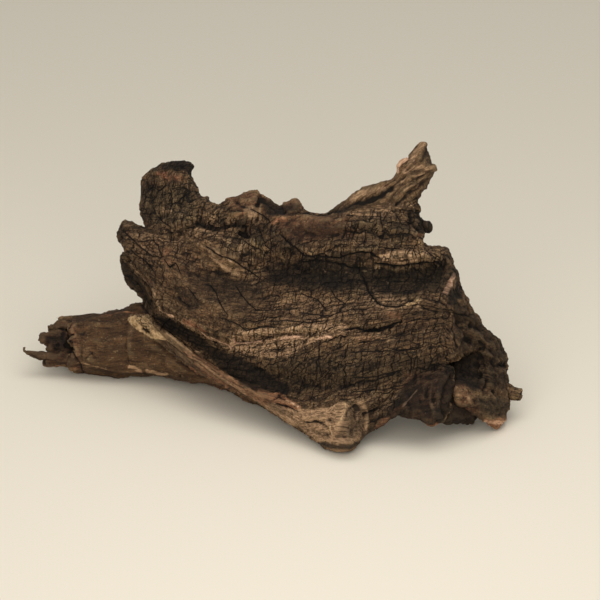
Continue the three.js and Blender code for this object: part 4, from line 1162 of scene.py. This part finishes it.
def reliefNodes():
    tree = bpy.data.node_groups.new("weatheredRelief", "GeometryNodeTree")
    tree.interface.new_socket("Geometry", in_out="INPUT", socket_type="NodeSocketGeometry")
    tree.interface.new_socket("Geometry", in_out="OUTPUT", socket_type="NodeSocketGeometry")
    start = addNode(tree, "NodeGroupInput")
    end = addNode(tree, "NodeGroupOutput")
    stored = {}
    for name, kind in (("grain", "FLOAT_VECTOR"), ("checked", "FLOAT"), ("shown", "FLOAT")):
        stored[name] = addNode(tree, "GeometryNodeInputNamedAttribute", {"Name": name}, data_type=kind)
    least = checks["hiddenShare"]
    share = addNode(tree, "ShaderNodeMath", {0: stored["shown"], 1: 1 - least, 2: least},
                    operation="MULTIPLY_ADD")
    share = addNode(tree, "ShaderNodeMath", {0: share, 1: stored["checked"]}, operation="MULTIPLY")
    cut = 0.0
    for size in (checks["broad"], checks["fine"]):
        lines = checkLines(tree, stored["grain"], size)
        cut = addNode(tree, "ShaderNodeMath", {0: lines, 1: -size["deep"], 2: cut}, operation="MULTIPLY_ADD")
    drawn = addNode(tree, "ShaderNodeVectorMath", {0: stored["grain"], 1: fibreRidges["stretch"]},
                    operation="MULTIPLY")
    fibre = addNode(tree, "ShaderNodeTexNoise", {"Vector": drawn, "Scale": 1.0, "Detail": 3.0})
    height = fibreRidges["height"]
    ridge = addNode(tree, "ShaderNodeMath", {0: fibre, 1: height, 2: -height / 2}, operation="MULTIPLY_ADD")
    cut = addNode(tree, "ShaderNodeMath", {0: cut, 1: share, 2: ridge}, operation="MULTIPLY_ADD")
    metres = addNode(tree, "ShaderNodeMath", {0: cut, 1: 0.001}, operation="MULTIPLY")
    normal = addNode(tree, "GeometryNodeInputNormal")
    offset = addNode(tree, "ShaderNodeVectorMath", {0: normal, "Scale": metres}, operation="SCALE")
    moved = addNode(tree, "GeometryNodeSetPosition", {"Geometry": start, "Offset": offset})
    tree.links.new(moved.outputs[0], end.inputs[0])
    return tree


# Hardwood that weathered in water and sun: grey-brown crust over reddish heart wood, with pale
# sapwood where it was worn. Dull all over, because the fibres stand up and scatter the light.
weatheredHardwood = {
    # name: (scale per mm, detail, roughness, stretch along and across the grain)
    "patterns": {
        "breakup": (0.35, 5.0, 0.65, (1, 1, 1)),
        "streak": (1.0, 4.0, 0.62, (0.03, 0.42, 0.3)),
        # Fibres are a tenth of this in the real wood; drawn this wide so that they show.
        "fibre": (1.0, 3.0, 0.6, (0.07, 1.1, 0.8)),
        "cloud": (0.075, 5.0, 0.62, (0.6, 1.3, 1)),
        "grit": (0.6, 3.0, 0.75, (1, 1, 1)),
        "fleck": (0.5, 3.0, 0.72, (0.6, 1, 1)),
    },
    # name: (dark, light, pattern between them, where it starts and ends)
    "tones": {
        "crust": ("#412d1d", "#816243", "lined", 0.8, 1.22),
        "warm": ("#472c1d", "#754f36", "lined", 0.8, 1.22),
        "olive": ("#382c1c", "#6f5b3e", "lined", 0.8, 1.22),
        "limb": ("#372415", "#64472d", "lined", 0.74, 1.26),
        "torn": ("#452819", "#9c694a", "lined", 0.78, 1.2),
        "bleached": ("#58402b", "#c09a75", "lined", 0.76, 1.2),
        "waxy": ("#8a6842", "#ceac80", "breakup", 0.35, 0.6),
        "rind": ("#92684d", "#e0b594", "fibre", 0.34, 0.6),
    },
    # Specks and stains on the crust: (pattern, none at, full at, share, colour)
    "specks": [
        ("cloud", 0.52, 0.34, 0.62, "#241a10"),
        ("cloud", 0.5, 0.68, 0.26, "#ac8c66"),
        ("grit", 0.5, 0.36, 0.66, "#1c120a"),
        ("fleck", 0.58, 0.68, 0.42, "#b39870"),
    ],
    # What lies over it, from below to above: (tone, raggedness, none at, full at)
    "layers": [
        ("limb", 0.2, 0.4, 0.6), ("olive", 0.6, 0.1, 0.9), ("warm", 0.6, 0.1, 0.9),
        ("torn", 1.0, 0.3, 0.75),
        ("bleached", 1.0, 0.3, 0.85), ("waxy", 0.5, 0.3, 0.6), ("rind", 0.6, 0.4, 0.8),
    ],
    # Dust and sun on the crests; dirt and painted shade in the hollows and where the soot tone lies:
    # (pattern, none at, full at, share, colour)
    "dirtAndShade": [
        ("grit", 0.44, 0.3, 0.5, "#1c140c"),
        ("bulge", 0.1, 1.3, 0.2, "#b0946c"),
        ("bulge", 0.1, -1.0, 0.88, "#130d07"),
        ("soot", 0.0, 1.0, 0.86, "#130d07"),
    ],
    "limbCalm": 0.3,  # share of the specks that the bare limb is without
    "checks": {"broad": 1.0, "fine": 0.92, "hair": 0.38},  # how dark each size is
    "crack": "#070402", "crackDark": 0.96, "crackHalf": (0.85, 0.2),  # pixels, from none to full
    # Height of the fine relief: how much of each, and metres for 1.
    "bump": {"lines": -0.6, "lined": 0.5, "grit": 0.8}, "bumpHeight": 0.002,
    "ior": 1.45, "roughness": 0.8, "specular": 0.25,
    "shineSpread": 0.5,  # of the roughness, by the grit
}


def layOver(tree, below, above, amount, low, high, most=1.0, times=None):
    # One tone over another, by a pattern that gives none of it at low and most of it at high.
    share = addNode(tree, "ShaderNodeMapRange",
                    {"Value": amount, "From Min": low, "From Max": high, "To Max": most},
                    interpolation_type="SMOOTHSTEP")
    if times:
        share = addNode(tree, "ShaderNodeMath", {0: share, 1: times}, operation="MULTIPLY")
    ends = [(*toLinear(end), 1) if isinstance(end, str) else end for end in (below, above)]
    return addNode(tree, "ShaderNodeMix", {0: share, 6: ends[0], 7: ends[1]}, data_type="RGBA")


def makeWood():
    look = weatheredHardwood
    material = bpy.data.materials.new("weatheredHardwood")
    material.use_nodes = True
    tree = material.node_tree
    tree.nodes.clear()
    pattern = {}
    for name in ("checked", "bulge", "crackSide", "crackShare", "limb") + tones:
        pattern[name] = addNode(tree, "ShaderNodeAttribute", attribute_name=name).outputs["Fac"]
    grain = addNode(tree, "ShaderNodeAttribute", attribute_name="grain").outputs["Vector"]
    for name, (scale, detail, rough, stretch) in look["patterns"].items():
        turned = addNode(tree, "ShaderNodeVectorMath", {0: grain, 1: stretch}, operation="MULTIPLY")
        pattern[name] = addNode(tree, "ShaderNodeTexNoise",
                                {"Vector": turned, "Scale": scale, "Detail": detail, "Roughness": rough})
    pattern["lined"] = addNode(tree, "ShaderNodeMath", {0: pattern["streak"], 1: pattern["fibre"]},
                               operation="ADD")
    tone = {}
    for name, (dark, light, source, low, high) in look["tones"].items():
        tone[name] = layOver(tree, dark, light, pattern[source], low, high)
    skin = tone["crust"]
    calm = addNode(tree, "ShaderNodeMath", {0: pattern["limb"], 1: -look["limbCalm"], 2: 1.0},
                   operation="MULTIPLY_ADD")
    # Each layer ends in a ragged line.
    strayed = addNode(tree, "ShaderNodeMath", {0: pattern["breakup"], 1: 0.5}, operation="SUBTRACT")
    for name, spread, low, high in look["layers"]:
        edge = addNode(tree, "ShaderNodeMath", {0: strayed, 1: spread, 2: pattern[name]},
                       operation="MULTIPLY_ADD")
        skin = layOver(tree, skin, tone[name], edge, low, high)
        if name == "warm":  # the last of the crust's own tones
            for source, low, high, most, colour in look["specks"]:
                skin = layOver(tree, skin, colour, pattern[source], low, high, most, calm)
    for source, low, high, most, colour in look["dirtAndShade"]:
        skin = layOver(tree, skin, colour, pattern[source], low, high, most)
    lines = 0.0
    for size, share in look["checks"].items():
        these = addNode(tree, "ShaderNodeMath", {0: checkLines(tree, grain, checks[size]), 1: share},
                        operation="MULTIPLY")
        lines = addNode(tree, "ShaderNodeMath", {0: these, 1: lines}, operation="MAXIMUM")
    lines = addNode(tree, "ShaderNodeMath", {0: lines, 1: pattern["checked"]}, operation="MULTIPLY")
    offLine = addNode(tree, "ShaderNodeMath", {0: pattern["crackSide"]}, operation="ABSOLUTE")
    none, full = look["crackHalf"]
    drawn = addNode(tree, "ShaderNodeMapRange", {"Value": offLine, "From Min": none, "From Max": full},
                    interpolation_type="SMOOTHSTEP")
    drawn = addNode(tree, "ShaderNodeMath", {0: drawn, 1: pattern["crackShare"]}, operation="MULTIPLY")
    pattern["lines"] = addNode(tree, "ShaderNodeMath", {0: lines, 1: drawn}, operation="MAXIMUM")
    dark = addNode(tree, "ShaderNodeMath", {0: pattern["lines"], 1: look["crackDark"]}, operation="MULTIPLY")
    skin = addNode(tree, "ShaderNodeMix", {0: dark, 6: skin, 7: (*toLinear(look["crack"]), 1)},
                   data_type="RGBA")
    height = 0.0
    for name, share in look["bump"].items():
        height = addNode(tree, "ShaderNodeMath", {0: pattern[name], 1: share, 2: height},
                         operation="MULTIPLY_ADD")
    bump = addNode(tree, "ShaderNodeBump",
                   {"Height": height, "Strength": 1.0, "Distance": look["bumpHeight"]})
    shine = addNode(tree, "ShaderNodeMath",
                    {0: pattern["grit"], 1: look["shineSpread"], 2: look["roughness"] - 0.3},
                    operation="MULTIPLY_ADD")
    shader = addNode(tree, "ShaderNodeBsdfPrincipled",
                     {"Base Color": skin, "Roughness": shine, "IOR": look["ior"],
                      "Specular IOR Level": look["specular"], "Normal": bump})
    output = addNode(tree, "ShaderNodeOutputMaterial")
    tree.links.new(shader.outputs[0], output.inputs[0])
    return material


def dropCrumbs(mesh):  # leaves the largest connected piece
    edges = readEdges(mesh)
    label = np.arange(len(mesh.vertices))
    before = None
    while before is None or (before != label).any():
        before = label.copy()
        low = np.minimum(label[edges[:, 0]], label[edges[:, 1]])
        np.minimum.at(label, before[edges[:, 0]], low)
        np.minimum.at(label, before[edges[:, 1]], low)
        label = label[label]
    crumbs = label != np.bincount(label).argmax()
    whole = bmesh.new()
    whole.from_mesh(mesh)
    bmesh.ops.delete(whole, geom=[v for v, crumb in zip(whole.verts, crumbs) if crumb], context="VERTS")
    whole.to_mesh(mesh)
    whole.free()
    print("crumbs dropped, corners", crumbs.sum())


def makeDriftwood():
    piece = denseCopy(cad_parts["driftwood"], "driftwood_weathered")
    print("dense mesh", len(piece.data.vertices))
    weather(piece)
    print("weathered")
    relief = piece.modifiers.new("relief", "NODES")
    relief.node_group = reliefNodes()
    thin = piece.modifiers.new("thin", "DECIMATE")
    thin.ratio = min(1, wood["triangles"] / (2 * len(piece.data.polygons)))
    thin.use_collapse_triangulate = True
    applyModifiers(piece)
    dropCrumbs(piece.data)
    points = readPoints(piece.data)
    points[:, 2] = np.maximum(points[:, 2], 0)  # it stands on the table
    writePoints(piece.data, points)
    print("triangles", len(piece.data.polygons))
    piece.data.materials.clear()
    piece.data.materials.append(makeWood())
    for face in piece.data.polygons:
        face.use_smooth = True
    return piece


driftwood = makeDriftwood()
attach(driftwood, "root")
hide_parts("driftwood")

studio = {
    "floor": "#e5ddcd", "floorSize": 12, "cameraAway": 20,
    "sky": (1.0, 0.985, 0.95), "skyStrength": 0.46,
    "litPoint": (0, 0, 0.08),
    # name: place, width and height in metres, watts, colour
    "lights": {
        "over": ((0.12, -0.3, 1.1), (1.4, 1.4), 8.9, (1.0, 0.985, 0.96)),
        "front": ((-0.22, -2.1, 0.78), (1.8, 1.35), 23, (1.0, 0.98, 0.95)),
    },
}


def makeFloor():
    # Matt paper: rough and pale, so it only takes the soft shadow.
    half = studio["floorSize"] / 2
    mesh = bpy.data.meshes.new("floor")
    corners = [(-half, -half, 0), (half, -half, 0), (half, half, 0), (-half, half, 0)]
    mesh.from_pydata(corners, [], [(0, 1, 2, 3)])
    floor = bpy.data.objects.new("floor", mesh)
    bpy.context.scene.collection.objects.link(floor)
    material = bpy.data.materials.new("mattPaper")
    material.use_nodes = True
    shader = material.node_tree.nodes["Principled BSDF"]
    shader.inputs["Base Color"].default_value = (*toLinear(studio["floor"]), 1)
    shader.inputs["Roughness"].default_value = 0.95
    shader.inputs["Specular IOR Level"].default_value = 0.1
    mesh.materials.append(material)


def makeLights():
    target = Vector(studio["litPoint"])
    for name, (place, size, watts, colour) in studio["lights"].items():
        data = bpy.data.lights.new(name, "AREA")
        data.shape = "RECTANGLE"
        data.size, data.size_y = size
        data.energy = watts
        data.color = colour
        light = bpy.data.objects.new(name, data)
        light.location = place
        light.rotation_euler = (target - Vector(place)).to_track_quat("-Z", "Y").to_euler()
        bpy.context.scene.collection.objects.link(light)
    world = bpy.data.worlds.new("studio")
    world.use_nodes = True
    background = world.node_tree.nodes["Background"]
    background.inputs["Color"].default_value = (*studio["sky"], 1)
    background.inputs["Strength"].default_value = studio["skyStrength"]
    bpy.context.scene.world = world


def makeCamera():
    data = bpy.data.cameras.new("camera")
    away = studio["cameraAway"]
    data.sensor_width = 36
    data.lens = data.sensor_width * away / (picture["size"] * picture["mmPerPixel"] / 1000)
    data.clip_end = 2 * away
    camera = bpy.data.objects.new("camera", data)
    centre = fromPicture(picture["size"] / 2, picture["size"] / 2, 0) / 1000
    camera.location = Vector(centre) + away * Vector(faceNormal)
    camera.rotation_euler = (math.pi / 2 - picture["lean"], 0, 0)
    bpy.context.scene.collection.objects.link(camera)
    bpy.context.scene.camera = camera


makeFloor()
makeLights()
makeCamera()
bpy.context.scene.view_settings.view_transform = "Standard"
print("studio ready")
